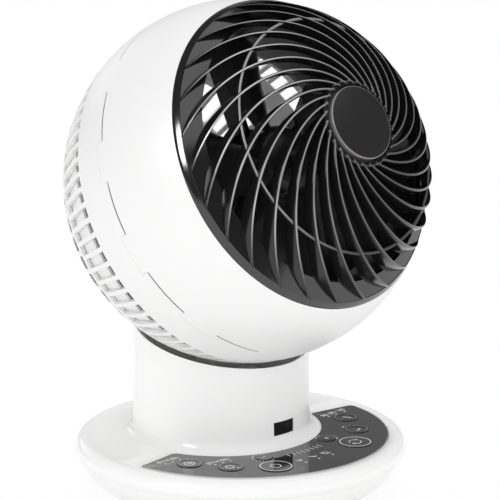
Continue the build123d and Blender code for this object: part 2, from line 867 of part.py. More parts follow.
def make_neck_yoke():
    """Half ring that carries the head's pivots, on an arm that leans out of the column."""
    ring = Rot(90, 0, 0) * (
        Cylinder(yoke_outer_radius, yoke_width) - Cylinder(yoke_inner_radius, 2 * yoke_width)
    )
    ring &= block((-head_radius, -head_radius, -head_radius), (head_radius, head_radius, 0))
    boss = rod_along_x(boss_radius, yoke_boss_face, yoke_outer_radius - pin_inset + 0.2)
    bore = rod_along_x(tilt_pin_radius + fit_play, yoke_boss_face - 1, yoke_outer_radius + 1)
    saddle = block((-arm_width, -arm_depth / 2, -head_radius), (arm_width, arm_depth / 2, 0))
    saddle &= Sphere(yoke_outer_radius + saddle_thickness)
    saddle -= Rot(90, 0, 0) * Cylinder(yoke_inner_radius, 3 * yoke_width)
    leaning = Rot(yoke_lean, 0, 0) * (ring + saddle + boss + mirrored(boss))
    yoke = upright_head(leaning - bore - mirrored(bore)) + knee_and_arm()
    yoke += disc(hub_radius, stem_low, knee_low + knee_height)
    yoke += disc(spigot_radius + washer_width + 1, stem_low, gear_height)
    yoke += disc(spigot_radius, deck_height - retainer_gap, stem_low)
    spigot_end = deck_height - retainer_gap - retainer_thickness - 1
    yoke += disc(spigot_radius - spigot_groove, spigot_end, deck_height)
    return yoke - disc(hub_bore_radius, spigot_end - 1, head_height - yoke_outer_radius)


def knee_and_arm():
    """The bent arm seen from the side: level over the gear, then up towards the head."""
    lean = math.radians(yoke_lean)

    def along_arm(radius, offset):
        return (0, radius * math.sin(lean) + offset * math.cos(lean),
                head_height - radius * math.cos(lean) + offset * math.sin(lean))

    half = arm_depth / 2
    top = yoke_inner_radius + yoke_thickness / 2
    bend = head_radius + neck_gap + 4
    heel = along_arm(bend + 5, half)
    outline = make_face(Polyline(
        (0, -hub_radius + 1, knee_low),
        (0, -hub_radius + 1, knee_low + knee_height),
        along_arm(bend, -half),
        along_arm(top, -half),
        along_arm(top, half),
        heel,
        (0, heel[1] - 2, knee_low),
        close=True,
    ))
    return extrude(outline, arm_width / 2, dir=(1, 0, 0), both=True)


def make_neck_retainer():
    """Ring under the deck that keeps the yoke's spigot from lifting out."""
    top = deck_height - retainer_gap
    bore = spigot_radius - spigot_groove + fit_play
    return tube(spigot_radius + 2, bore, top - retainer_thickness, top)


def make_tilt_pin():
    end = yoke_outer_radius - pin_inset
    return upright_head(rod_along_x(tilt_pin_radius, -end, -lug_inner - 0.5))


def make_tilt_drive_shaft():
    low = lug_inner - tilt_motor_length / 2
    return upright_head(rod_along_x(tilt_pin_radius, low, yoke_outer_radius - pin_inset))


def make_tilt_bushes():
    """Flanged bushes in the duct's lugs, in which the pin and the drive shaft turn."""
    outer_face = lug_inner + lug_thickness
    flange_face = outer_face + bush_flange_thickness
    bush = rod_along_x(bush_radius, lug_inner, outer_face)
    bush += rod_along_x(bush_radius + bush_flange, outer_face, flange_face)
    bush -= rod_along_x(tilt_pin_radius + fit_play, lug_inner - 1, flange_face + 1)
    return Compound([bush, mirrored(bush)])


def make_tilt_motor():
    """Geared motor on the right-hand lug; its hollow output holds the drive shaft."""
    low = lug_inner - tilt_motor_length
    body = rod_along_x(tilt_motor_radius, low, lug_inner)
    bore_end = lug_inner - tilt_motor_length / 2 - 0.5
    return body - rod_along_x(tilt_pin_radius + fit_play, bore_end, lug_inner + 1)


# ----------------------------------------------------------------------- swing drive
def involute(angle):
    return math.tan(angle) - angle


def gear_tooth(teeth):
    """One tooth about the +X direction, from below the root to the tip."""
    pressure = math.radians(gear_pressure)
    pitch_radius = gear_module * teeth / 2
    base_circle = pitch_radius * math.cos(pressure)
    root = pitch_radius - 1.25 * gear_module
    tip = pitch_radius + 0.95 * gear_module
    half_pitch = math.pi / (2 * teeth) - gear_backlash / (2 * pitch_radius)
    side = []
    for radius in (root - 0.6, max(root, base_circle), pitch_radius, tip):
        angle = math.acos(min(1.0, base_circle / radius))
        half = half_pitch + involute(pressure) - involute(angle)
        side.append((radius * math.cos(half), radius * math.sin(half)))
    other = [(x, -y) for x, y in reversed(side)]
    return extrude(make_face(Polyline(*side, *other, close=True)), gear_face)


def make_swing_gear():
    """Toothed sector on the stem, driven by the swing pinion."""
    pitch = 360 / gear_teeth
    root = gear_pitch_radius - 1.25 * gear_module
    count = int(gear_reach // pitch)
    teeth = [
        Rot(0, 0, 90 + pitch * (k + 0.5)) * gear_tooth(gear_teeth) for k in range(-count, count)
    ]
    front = block((-root - 1, -root - 1, -1), (root + 1, -4.0, gear_face + 1))
    gear = disc(root, 0, gear_face) - front + disc(hub_radius + 4, 0, gear_face) + teeth
    return Pos(0, 0, gear_height) * (gear - disc(hub_radius + fit_play, -1, gear_face + 1))


def make_swing_pinion():
    """Small gear on the swing motor's shaft; a tooth stands in the sector's gap."""
    root = pinion_pitch_radius - 1.25 * gear_module
    pitch = 360 / pinion_teeth
    teeth = [Rot(0, 0, -90 + pitch * k) * gear_tooth(pinion_teeth) for k in range(pinion_teeth)]
    pinion = disc(root, 0, gear_face) + teeth
    pinion -= disc(swing_shaft_radius + fit_play, -1, gear_face + 1)
    return Pos(*swing_motor_place, gear_height) * pinion


def make_swing_shaft():
    low, high = deck_height - swing_shaft_depth, gear_height + gear_face
    return disc(swing_shaft_radius, low, high, swing_motor_place)


def make_swing_motor():
    """Geared motor hung under the deck, with its boss through the deck."""
    place = swing_motor_place
    shoulder = deck_height - retainer_gap - retainer_thickness - 1
    motor = disc(swing_motor_radius, deck_height - swing_motor_length, shoulder, place)
    motor += disc(swing_neck_radius, shoulder - 1, deck_height, place)
    motor += disc(swing_boss_radius, deck_height - 1, stem_low, place)
    bore_end = deck_height - swing_shaft_depth - 0.5
    return motor - disc(swing_shaft_radius + fit_play, bore_end, stem_low + 1, place)


def make_swing_deck():
    """Plate across the column that carries the yoke and the swing motor."""
    low, high = deck_height - 1, deck_top + 1
    radius = column_radius - base_wall - side_play
    deck = disc(radius, deck_height, deck_top, (0, column_offset))
    deck -= disc(spigot_radius + fit_play, low, high)
    deck -= disc(swing_boss_radius + fit_play, low, high, swing_motor_place)
    for place in deck_screw_places:
        deck -= disc(screw_radius + side_play, low, high, place)
    return deck


def make_deck_screws():
    return screws(deck_screw_places, deck_height, deck_height + screw_bite)


def make_thrust_washer():
    outer, bore = spigot_radius + washer_width, spigot_radius + side_play
    return tube(outer, bore, deck_top, stem_low - fit_play)


# -------------------------------------------------------------------- column and base
def about_base(shape):
    return Pos(0, base_offset, 0) * shape


def about_column(shape):
    return Pos(0, column_offset, 0) * shape


def crescent(outer, inner, inset, low, high):
    """Crescent plate in front of the column, inset by a margin all round."""
    outer, inner = outer - inset, inner + inset
    right_outer = polar(outer, panel_outer_end - math.degrees(inset / outer), base_offset)
    right_inner = polar(inner, panel_inner_end - math.degrees(inset / inner), column_offset)
    left_outer = (-right_outer[0], right_outer[1])
    left_inner = (-right_inner[0], right_inner[1])
    face = make_face([
        ThreePointArc(right_outer, polar(outer, -90, base_offset), left_outer),
        Line(left_outer, left_inner),
        ThreePointArc(left_inner, polar(inner, -90, column_offset), right_inner),
        Line(right_inner, right_outer),
    ])
    plate = Pos(0, 0, low) * extrude(face, high - low)
    return fillet(plate.edges().filter_by(Axis.Z), panel_corner)


def button_holes(play):
    return [
        disc(radius + play, cover_ceiling - 1, base_top + 1, (x, y))
        for x, y, radius in buttons.values()
    ]


def window_block(play):
    """Block that bounds the receiver's window in the column wall."""
    half = receiver_window_width / 2 + play
    front = column_offset - column_radius
    return block(
        (-half, front - 5, window_low - play),
        (half, front + base_wall + 2, window_high + play),
    )


def make_lid():
    """Shallow disc of the upper casing, rounded over at its edge."""
    inner_edge = base_edge_radius - 1.5
    seam_inside = base_seam_radius - base_wall
    return about_base(turned_edges(
        arc((base_seam_radius, base_seam_height), (base_radius, base_widest_height),
            (base_edge_radius, base_top)),
        line((base_edge_radius, base_top), (0, base_top)),
        line((0, base_top), (0, cover_ceiling)),
        line((0, cover_ceiling), (inner_edge, cover_ceiling)),
        arc((inner_edge, cover_ceiling),
            (base_radius - base_wall, base_widest_height - 0.5),
            (seam_inside, base_seam_height)),
        line((seam_inside, base_seam_height), (base_seam_radius, base_seam_height)),
    ))


def column_height():
    """Height at which the ball's clearance leaves the back of the column."""
    back = column_offset + column_radius + column_flare
    return head_height - math.sqrt((head_radius + neck_gap)**2 - back**2) + 1


def make_column():
    """Solid column with a slight flare and a fillet at its foot."""
    top = column_height()
    foot = column_radius + column_flare
    flare_top = base_top + column_flare_height
    centre = (foot + column_fillet, base_top + column_fillet - side_play)
    reach = column_fillet * math.sqrt(0.5)
    low = centre[1] - column_fillet
    return about_column(turned_edges(
        line((0, top), (column_radius, top)),
        line((column_radius, top), (column_radius, flare_top)),
        line((column_radius, flare_top), (foot, centre[1])),
        arc((foot, centre[1]), (centre[0] - reach, centre[1] - reach), (centre[0], low)),
        line((centre[0], low), (centre[0], cover_ceiling)),
        line((centre[0], cover_ceiling), (0, cover_ceiling)),
        line((0, cover_ceiling), (0, top)),
    ))


def make_base_top_cover():
    """Upper casing: shallow disc, column with its cupped rim, panel recess, bosses."""
    cover = make_lid() + make_column()
    inside = column_radius - base_wall
    cover -= disc(inside, 0, column_height() + 1, (0, column_offset))
    cover -= upright_head(Sphere(head_radius + neck_gap))
    cover -= crescent(panel_outer_radius, panel_inner_radius, 0, panel_floor, base_top + 1)
    cover -= button_holes(button_play)
    cover -= window_block(0)
    for place in deck_screw_places:
        high = deck_top + deck_lug_height
        lug = tube(deck_lug_radius, screw_radius + fit_play, deck_top, high, place)
        cover += lug & disc(inside + base_wall / 2, deck_top, high, (0, column_offset))
    for place in cover_bosses:
        bore = screw_radius + fit_play
        cover += tube(boss_outer_radius, bore, boss_meeting_height, cover_ceiling, place)
    for place in board_bosses:
        bore = board_screw_radius + fit_play
        cover += tube(board_boss_radius, bore, board_top, cover_ceiling, place)
    return cover


def make_bowl():
    """Bowl between the flat floor and the seam below the upper casing."""
    shift = base_wall * 0.75
    seam_inside = base_seam_radius - base_wall
    return about_base(turned_edges(
        line((0, foot_height), (base_floor_radius, foot_height)),
        arc((base_floor_radius, foot_height), (base_side_radius, base_side_height),
            (base_seam_radius, base_seam_height)),
        line((base_seam_radius, base_seam_height), (seam_inside, base_seam_height)),
        arc((seam_inside, base_seam_height),
            (base_side_radius - base_wall, base_side_height + shift),
            (base_floor_radius, floor_top)),
        line((base_floor_radius, floor_top), (0, floor_top)),
        line((0, floor_top), (0, foot_height)),
    ))


def make_base_bottom_cover():
    """Lower casing with feet pockets, screw bosses and the inlet's hole."""
    bowl = make_bowl()
    for place in cover_bosses:
        bowl += disc(boss_outer_radius, floor_top - 1, boss_meeting_height - fit_play, place)
        bowl -= disc(screw_radius + side_play, 0, boss_meeting_height + 1, place)
        bowl -= disc(screw_head_radius + side_play, 0, screw_seat, place)
    for place in power_posts:
        bowl += disc(power_post_radius, floor_top - 1, power_board_low, place)
    for place in foot_places:
        bowl -= disc(foot_radius + fit_play, 0, foot_height + foot_pocket, place)
    return bowl - inlet_tunnel(inlet_radius + fit_play)


def make_base_screws():
    return screws(cover_bosses, screw_seat, boss_meeting_height + screw_bite)


def make_rubber_feet():
    feet = []
    for place in foot_places:
        foot = disc(foot_radius, 0, foot_height + foot_pocket, place)
        feet.append(chamfer(foot.edges().group_by(Axis.Z)[0], foot_bevel))
    return Compound(feet)


def make_ballast_plate():
    """Steel weight that keeps the tall head from tipping the base."""
    low, high = floor_top, floor_top + ballast_thickness
    plate = disc(ballast_radius, low, high, (0, base_offset))
    front = power_board_y - power_board_size[1] / 2 - power_post_inset
    return plate - block((-head_radius, front, low - 1), (head_radius, base_radius, high + 1))


# --------------------------------------------------------------- controls in the base
def make_control_panel():
    """Crescent overlay that lies in the cover's recess and lets the buttons through."""
    panel = crescent(panel_outer_radius, panel_inner_radius, panel_play, panel_floor, base_top)
    return panel - button_holes(button_play)


def make_button(x, y, radius):
    """Round cap with a retaining flange and a stem over its switch."""
    flange_high = cover_ceiling - button_flange_gap
    flange_low = flange_high - button_flange_thickness
    cap = disc(radius, flange_low, base_top + button_rise, (x, y))
    cap = chamfer(cap.edges().group_by(Axis.Z)[-1], button_bevel)
    flange = disc(radius + button_flange, flange_low, flange_high, (x, y))
    return cap + flange + disc(button_stem_radius, button_foot, flange_low + 0.5, (x, y))


def make_control_board():
    low, high = board_top - board_thickness, board_top
    board = crescent(board_outer_radius, board_inner_radius, 0, low, high)
    for place in cover_bosses:
        board -= disc(boss_outer_radius + 1, low - 1, high + 1, place)
    for place in board_bosses:
        board -= disc(board_screw_radius + side_play, low - 1, high + 1, place)
    return board


def make_board_screws():
    """Small screws that hold the circuit board under its bosses."""
    low = board_top - board_thickness
    return Compound([
        disc(board_screw_head_radius, low - board_screw_head_height, low, place)
        + disc(board_screw_radius, low - nothing, board_top + 5, place)
        for place in board_bosses
    ])


def make_tact_switches():
    """One square switch on the board under each button."""
    half = switch_width / 2
    return Compound([
        block((x - half, y - half, board_top), (x + half, y + half, board_top + switch_height))
        for x, y, _ in buttons.values()
    ])


def make_indicator_leds():
    """Small lamps on the board under the panel's printed lights."""
    width, depth, height = lamp_size
    return Compound([
        block((x - width / 2, y - depth / 2, board_top), (x + width / 2, y + depth / 2, board_top + height))
        for x, y in lamp_places
    ])


def make_receiver_window():
    """Dark window for the remote control's receiver, curved with the column."""
    outer, inner = column_radius + column_flare / 2, column_radius - base_wall
    ring = tube(outer, inner, window_low, window_high, (0, column_offset))
    return ring & window_block(-fit_play)


def make_receiver():
    """Infrared receiver behind its window."""
    width, depth, height = receiver_size
    front = column_offset - column_radius + base_wall + receiver_gap
    middle = (window_low + window_high) / 2
    return block((-width / 2, front, middle - height / 2), (width / 2, front + depth, middle + height / 2))


def make_power_board():
    width, depth = power_board_size
    return block(
        (-width / 2, power_board_y - depth / 2, power_board_low),
        (width / 2, power_board_y + depth / 2, power_board_top),
    )


def along_y(radius, front, length):
    """Cylinder along Y at the power inlet's height."""
    return Pos(0, front + length / 2, inlet_height) * Rot(90, 0, 0) * Cylinder(radius, length)


def inlet_tunnel(radius):
    """The round way for the inlet through the back of the base."""
    return along_y(radius, power_board_back + 3, base_radius - power_board_back + 20)


def make_power_inlet():
    """Round socket for a low-voltage plug, at the back of the base."""
    width, depth, height = inlet_body
    front = power_board_back + 3 - depth
    body = block(
        (-width / 2, front, power_board_top),
        (width / 2, front + depth, power_board_top + height),
    )
    nose = along_y(inlet_radius, power_board_back, inlet_face - power_board_back)
    bore = along_y(inlet_bore_radius, inlet_face - inlet_bore_depth, inlet_bore_depth + 1)
    pin = along_y(inlet_pin_radius, inlet_face - inlet_bore_depth - 1, inlet_bore_depth - 1)
    return body + nose - bore + pin


# ----------------------------------------------------------------------------- export
in_head = {
    "front_shell": make_front_shell,
    "rear_shell": make_rear_shell,
    "front_grille": make_front_grille,
    "hub_cap": make_hub_cap,
    "air_duct": make_air_duct,
    "flange_screws": make_flange_screws,
    "motor_housing": make_motor_housing,
    "motor_end_cap": make_motor_end_cap,
    "motor_bearings": make_motor_bearings,
    "motor_rotor": make_motor_rotor,
    "motor_shaft": make_motor_shaft,
    "impeller": make_impeller,
    "impeller_nut": make_impeller_nut,
    "tilt_motor": make_tilt_motor,
    "tilt_bushes": make_tilt_bushes,
}

in_place = {
    "neck_yoke": make_neck_yoke,
    "neck_retainer": make_neck_retainer,
    "tilt_pin": make_tilt_pin,
    "tilt_drive_shaft": make_tilt_drive_shaft,
    "swing_gear": make_swing_gear,
    "swing_pinion": make_swing_pinion,
    "swing_shaft": make_swing_shaft,
    "swing_motor": make_swing_motor,
    "swing_deck": make_swing_deck,
    "deck_screws": make_deck_screws,
    "thrust_washer": make_thrust_washer,
    "base_top_cover": make_base_top_cover,
    "base_bottom_cover": make_base_bottom_cover,
    "base_screws": make_base_screws,
    "rubber_feet": make_rubber_feet,
    "ballast_plate": make_ballast_plate,
    "control_panel": make_control_panel,
    "control_board": make_control_board,
    "board_screws": make_board_screws,
    "tact_switches": make_tact_switches,
    "indicator_leds": make_indicator_leds,
    "receiver_window": make_receiver_window,
    "receiver": make_receiver,
    "power_board": make_power_board,
    "power_inlet": make_power_inlet,
}


def make_all():
    """Every piece by name, each in its place in the finished fan."""
    pieces = {name: make().moved(head_frame) for name, make in in_head.items()}
    pieces.update({name: make() for name, make in in_place.items()})
    pieces.update({name: make_button(*size) for name, size in buttons.items()})
    return pieces


os.makedirs("parts", exist_ok=True)
for name, piece in make_all().items():
    export_step(piece, f"parts/{name}.step")
    print(f"{name:22s} volume {piece.volume:10.0f}")
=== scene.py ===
# %% [markdown]
# # A ball-shaped air circulator, dressed in Blender
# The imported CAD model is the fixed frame: it says where each piece sits and how it moves.
# This lesson dresses it. Large gloss surfaces get smooth shading, the swept grille is made
# anew with rounded edges that catch the light, and the control panel gets its printed
# rings and symbols. All lengths in Blender are metres.

# %% Load the frame
import json
import math

import bmesh
import bpy
from mathutils import Matrix, Vector


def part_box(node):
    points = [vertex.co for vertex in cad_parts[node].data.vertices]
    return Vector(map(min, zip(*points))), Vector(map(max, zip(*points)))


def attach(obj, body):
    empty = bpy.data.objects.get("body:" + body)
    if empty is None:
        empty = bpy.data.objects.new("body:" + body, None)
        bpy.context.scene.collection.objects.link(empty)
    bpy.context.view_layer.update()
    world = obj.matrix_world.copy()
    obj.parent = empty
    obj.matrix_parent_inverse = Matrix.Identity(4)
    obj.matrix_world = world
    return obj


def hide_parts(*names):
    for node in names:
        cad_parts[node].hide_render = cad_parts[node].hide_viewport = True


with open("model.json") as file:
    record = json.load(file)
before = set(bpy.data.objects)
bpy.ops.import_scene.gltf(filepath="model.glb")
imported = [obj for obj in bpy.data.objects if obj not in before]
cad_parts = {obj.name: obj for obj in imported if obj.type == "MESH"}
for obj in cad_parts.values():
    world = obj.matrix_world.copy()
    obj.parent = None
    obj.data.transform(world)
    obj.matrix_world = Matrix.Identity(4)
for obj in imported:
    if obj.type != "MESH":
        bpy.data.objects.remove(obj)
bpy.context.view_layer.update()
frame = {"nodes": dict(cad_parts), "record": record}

nodes = frame["nodes"]
scene = bpy.context.scene

# %% [markdown]
# ## The camera
# The picture was taken from the front left, a little above the object, with a long lens.
# The camera stands on a line from the middle of the fan, at a measured turn and height.
# A small shift puts the object where the picture's frame has it.

# %% Camera
MM = 0.001
TARGET = Vector((0, 0, 145 * MM))
CAMERA_DISTANCE = 1.5057
CAMERA_TURN = 44.49
CAMERA_RISE = 13.14
SENSOR_WIDTH = 36.0
LENS = 187.2
SHIFT_X, SHIFT_Y = 0.0086, -0.0029

turn, rise = math.radians(CAMERA_TURN), math.radians(CAMERA_RISE)
back = Vector((-math.sin(turn) * math.cos(rise), -math.cos(turn) * math.cos(rise),
               math.sin(rise)))
camera = bpy.data.objects.new("camera", bpy.data.cameras.new("camera"))
camera.data.sensor_width = SENSOR_WIDTH
camera.data.lens = LENS
camera.data.shift_x, camera.data.shift_y = SHIFT_X, SHIFT_Y
camera.location = TARGET + back * CAMERA_DISTANCE
camera.rotation_euler = (-back).to_track_quat("-Z", "Y").to_euler()
scene.collection.objects.link(camera)
scene.camera = camera
print("camera at", [round(c, 3) for c in camera.location])

# %% [markdown]
# ## Light and background
# White plastic looks white when light comes from all round, so the world is bright for
# matt surfaces, and two fill lamps lift the front and the top of the base. Black gloss
# shows what it reflects: the white floor below, and above it a dim room with three soft
# boxes and a large faint backdrop. The camera sees plain white.

# %% World and lamps
scene.view_settings.view_transform = "Standard"
ROOM_LIGHT = 0.93
ROOM_IN_GLOSS = 0.08
ROOM_TO_CAMERA = 1.0

world = bpy.data.worlds.new("studio")
scene.world = world
world.use_nodes = True
tree = world.node_tree
tree.nodes.clear()
out = tree.nodes.new("ShaderNodeOutputWorld")
ray = tree.nodes.new("ShaderNodeLightPath")


def background(level):
    """Plain white light at this strength."""
    shader = tree.nodes.new("ShaderNodeBackground")
    shader.inputs["Color"].default_value = (1, 1, 1, 1)
    shader.inputs["Strength"].default_value = level
    return shader


def choose(factor, low, high):
    """The high shader where the factor is 1, else the low one."""
    mix = tree.nodes.new("ShaderNodeMixShader")
    tree.links.new(factor, mix.inputs[0])
    tree.links.new(low.outputs[0], mix.inputs[1])
    tree.links.new(high.outputs[0], mix.inputs[2])
    return mix


for_gloss = choose(ray.outputs["Is Glossy Ray"], background(ROOM_LIGHT),
                   background(ROOM_IN_GLOSS))
for_camera = choose(ray.outputs["Is Camera Ray"], for_gloss, background(ROOM_TO_CAMERA))
tree.links.new(for_camera.outputs[0], out.inputs["Surface"])


def soft_box(name, direction, distance, size, radiance, mirrored=True):
    """A lamp in this direction and distance from the fan; radiance 1 is white.

    A mirrored one shows in gloss only; the others light matt surfaces only.
    """
    lamp = bpy.data.lights.new(name, "AREA")
    lamp.shape = "RECTANGLE"
    lamp.size, lamp.size_y = size
    lamp.energy = radiance * math.pi * size[0] * size[1]
    holder = bpy.data.objects.new(name, lamp)
    way = Vector(direction).normalized()
    holder.location = TARGET + way * distance
    holder.rotation_euler = way.to_track_quat("Z", "Y").to_euler()
    holder.visible_diffuse = not mirrored
    holder.visible_glossy = mirrored
    scene.collection.objects.link(holder)


soft_box("box_left", (-0.866, -0.012, 0.50), 2.4, (0.55, 0.95), 18)
soft_box("box_behind", (0.20, 0.95, 0.25), 3.0, (1.3, 0.6), 1.1)
soft_box("box_above", (0.10, -0.25, 0.96), 1.7, (1.7, 1.7), 1.0)
soft_box("backdrop", (0.69, 0.69, 0.22), 3.2, (4.4, 2.2), 0.2)
soft_box("fill_front", (-0.70, -0.70, 0.0), 2.0, (1.5, 1.0), 1.7, mirrored=False)
soft_box("fill_above", (0.42, 0.42, 0.80), 2.0, (1.6, 1.6), 1.0, mirrored=False)

# %% [markdown]
# ## Small effects that several finishes share
# Moulded plastic is never perfect: its gloss waves a little where it shrank in the mould,
# and its sheen varies where it was handled. Each effect is one node group, used in many
# materials with its own values.

# %% Node groups
WAVE_SCALE = 25.0
GRAIN_SCALE = 900.0
PATCH_SCALE = 18.0
CLOUD_SCALE = 12.0
PLAIN_GRAIN = 0.1


def node_group(name, inputs, outputs):
    """An empty group with float sockets, and its input and output nodes."""
    group = bpy.data.node_groups.new(name, "ShaderNodeTree")
    for label, value in inputs:
        socket = group.interface.new_socket(label, in_out="INPUT", socket_type="NodeSocketFloat")
        socket.default_value = value
    for label in outputs:
        group.interface.new_socket(label, in_out="OUTPUT", socket_type="NodeSocketFloat")
    return group, group.nodes.new("NodeGroupInput"), group.nodes.new("NodeGroupOutput")


def noise_in(group, scale, detail):
    """Noise on object coordinates; the scale may be a socket or a number."""
    place = group.nodes.new("ShaderNodeTexCoord")
    noise = group.nodes.new("ShaderNodeTexNoise")
    noise.inputs["Detail"].default_value = detail
    group.links.new(place.outputs["Object"], noise.inputs["Vector"])
    if isinstance(scale, (int, float)):
        noise.inputs["Scale"].default_value = scale
    else:
        group.links.new(scale, noise.inputs["Scale"])
    return noise.outputs["Fac"]


def math_in(group, operation, first, second):
    """A Math node; each operand may be a socket or a number."""
    step = group.nodes.new("ShaderNodeMath")
    step.operation = operation
    for socket, value in zip(step.inputs, (first, second)):
        if isinstance(value, (int, float)):
            socket.default_value = value
        else:
            group.links.new(value, socket)
    return step.outputs[0]


# Mould waviness: long soft waves plus a fine grain, as a height for a Bump node.
waviness, given, made = node_group(
    "mould_waviness", [("Wave Scale", WAVE_SCALE), ("Grain Scale", GRAIN_SCALE),
                       ("Grain Share", PLAIN_GRAIN)], ["Height"])
wave = noise_in(waviness, given.outputs["Wave Scale"], 1.0)
grain = noise_in(waviness, given.outputs["Grain Scale"], 2.0)
fine = math_in(waviness, "MULTIPLY", grain, given.outputs["Grain Share"])
waviness.links.new(math_in(waviness, "ADD", wave, fine), made.inputs["Height"])

# Handling: the roughness wanders between two values in soft patches.
handling, given, made = node_group(
    "handled_sheen", [("Smooth", 0.1), ("Rubbed", 0.2), ("Patch Scale", PATCH_SCALE)],
    ["Roughness"])
patch = noise_in(handling, given.outputs["Patch Scale"], 4.0)
span = math_in(handling, "SUBTRACT", given.outputs["Rubbed"], given.outputs["Smooth"])
added = math_in(handling, "MULTIPLY", patch, span)
total = math_in(handling, "ADD", given.outputs["Smooth"], added)
handling.links.new(total, made.inputs["Roughness"])

# Tint: a mask that mixes two near colours in cloudy patches.
cloud, given, made = node_group("cloudy_mask", [("Cloud Scale", CLOUD_SCALE)], ["Mask"])
cloud.links.new(noise_in(cloud, given.outputs["Cloud Scale"], 3.0), made.inputs["Mask"])
print("node groups:", [g.name for g in bpy.data.node_groups])

# %% [markdown]
# ## The finishes
# One function sets up every plastic and metal: two near colours mixed by the cloudy mask,
# the handled sheen on Roughness, and the waviness through a Bump node. A table holds the
# values. The grille's edges catch the light, so they get a painted highlight: a light,
# partly metallic colour along them.

# %% Finish function
def use_group(material, group, values):
    """Adds the group to a material with these values, and gives its only output."""
    step = material.node_tree.nodes.new("ShaderNodeGroup")
    step.node_tree = group
    for label, value in values.items():
        step.inputs[label].default_value = value
    return step.outputs[0]


def finish(name, colour, other, smooth, rubbed, metallic=0.0, grain_share=PLAIN_GRAIN,
           bump=0.02, gloss=0.5):
    """A plastic or metal: two near colours, two roughnesses, and a bump in millimetres."""
    material = bpy.data.materials.new(name)
    material.use_nodes = True
    nodes_of, links = material.node_tree.nodes, material.node_tree.links
    shader = nodes_of["Principled BSDF"]
    shader.inputs["Metallic"].default_value = metallic
    shader.inputs["Specular IOR Level"].default_value = gloss
    blend = nodes_of.new("ShaderNodeMix")
    blend.data_type = "RGBA"
    blend.inputs["A"].default_value = (*colour, 1)
    blend.inputs["B"].default_value = (*other, 1)
    clouds = use_group(material, cloud, {"Cloud Scale": CLOUD_SCALE})
    links.new(clouds, blend.inputs["Factor"])
    links.new(blend.outputs["Result"], shader.inputs["Base Color"])
    sheen = use_group(material, handling,
                      {"Smooth": smooth, "Rubbed": rubbed, "Patch Scale": PATCH_SCALE})
    links.new(sheen, shader.inputs["Roughness"])
    relief = nodes_of.new("ShaderNodeBump")
    relief.inputs["Strength"].default_value = 1.0
    relief.inputs["Distance"].default_value = bump * MM
    height = use_group(material, waviness, {"Wave Scale": WAVE_SCALE, "Grain Scale": GRAIN_SCALE,
                                            "Grain Share": grain_share})
    links.new(height, relief.inputs["Height"])
    links.new(relief.outputs["Normal"], shader.inputs["Normal"])
    return material


def paint_highlight_on_edges(material, colour, roughness, highlight_metallic):
    """Paints a highlight: where a piece's highlight attribute is 1, its edge has this light
    colour, roughness and metallic.
    """
    nodes_of, links = material.node_tree.nodes, material.node_tree.links
    shader = nodes_of["Principled BSDF"]
    painted_highlight = nodes_of.new("ShaderNodeAttribute")
    painted_highlight.attribute_name = "painted_highlight"
    for label, kind, value in (("Base Color", "RGBA", (*colour, 1)),
                               ("Roughness", "FLOAT", roughness),
                               ("Metallic", "FLOAT", highlight_metallic)):
        step = nodes_of.new("ShaderNodeMix")
        step.data_type = kind
        given = shader.inputs[label]
        if given.is_linked:
            links.new(given.links[0].from_socket, step.inputs["A"])
        links.new(painted_highlight.outputs["Fac"], step.inputs["Factor"])
        step.inputs["B"].default_value = value
        links.new(step.outputs["Result"], given)


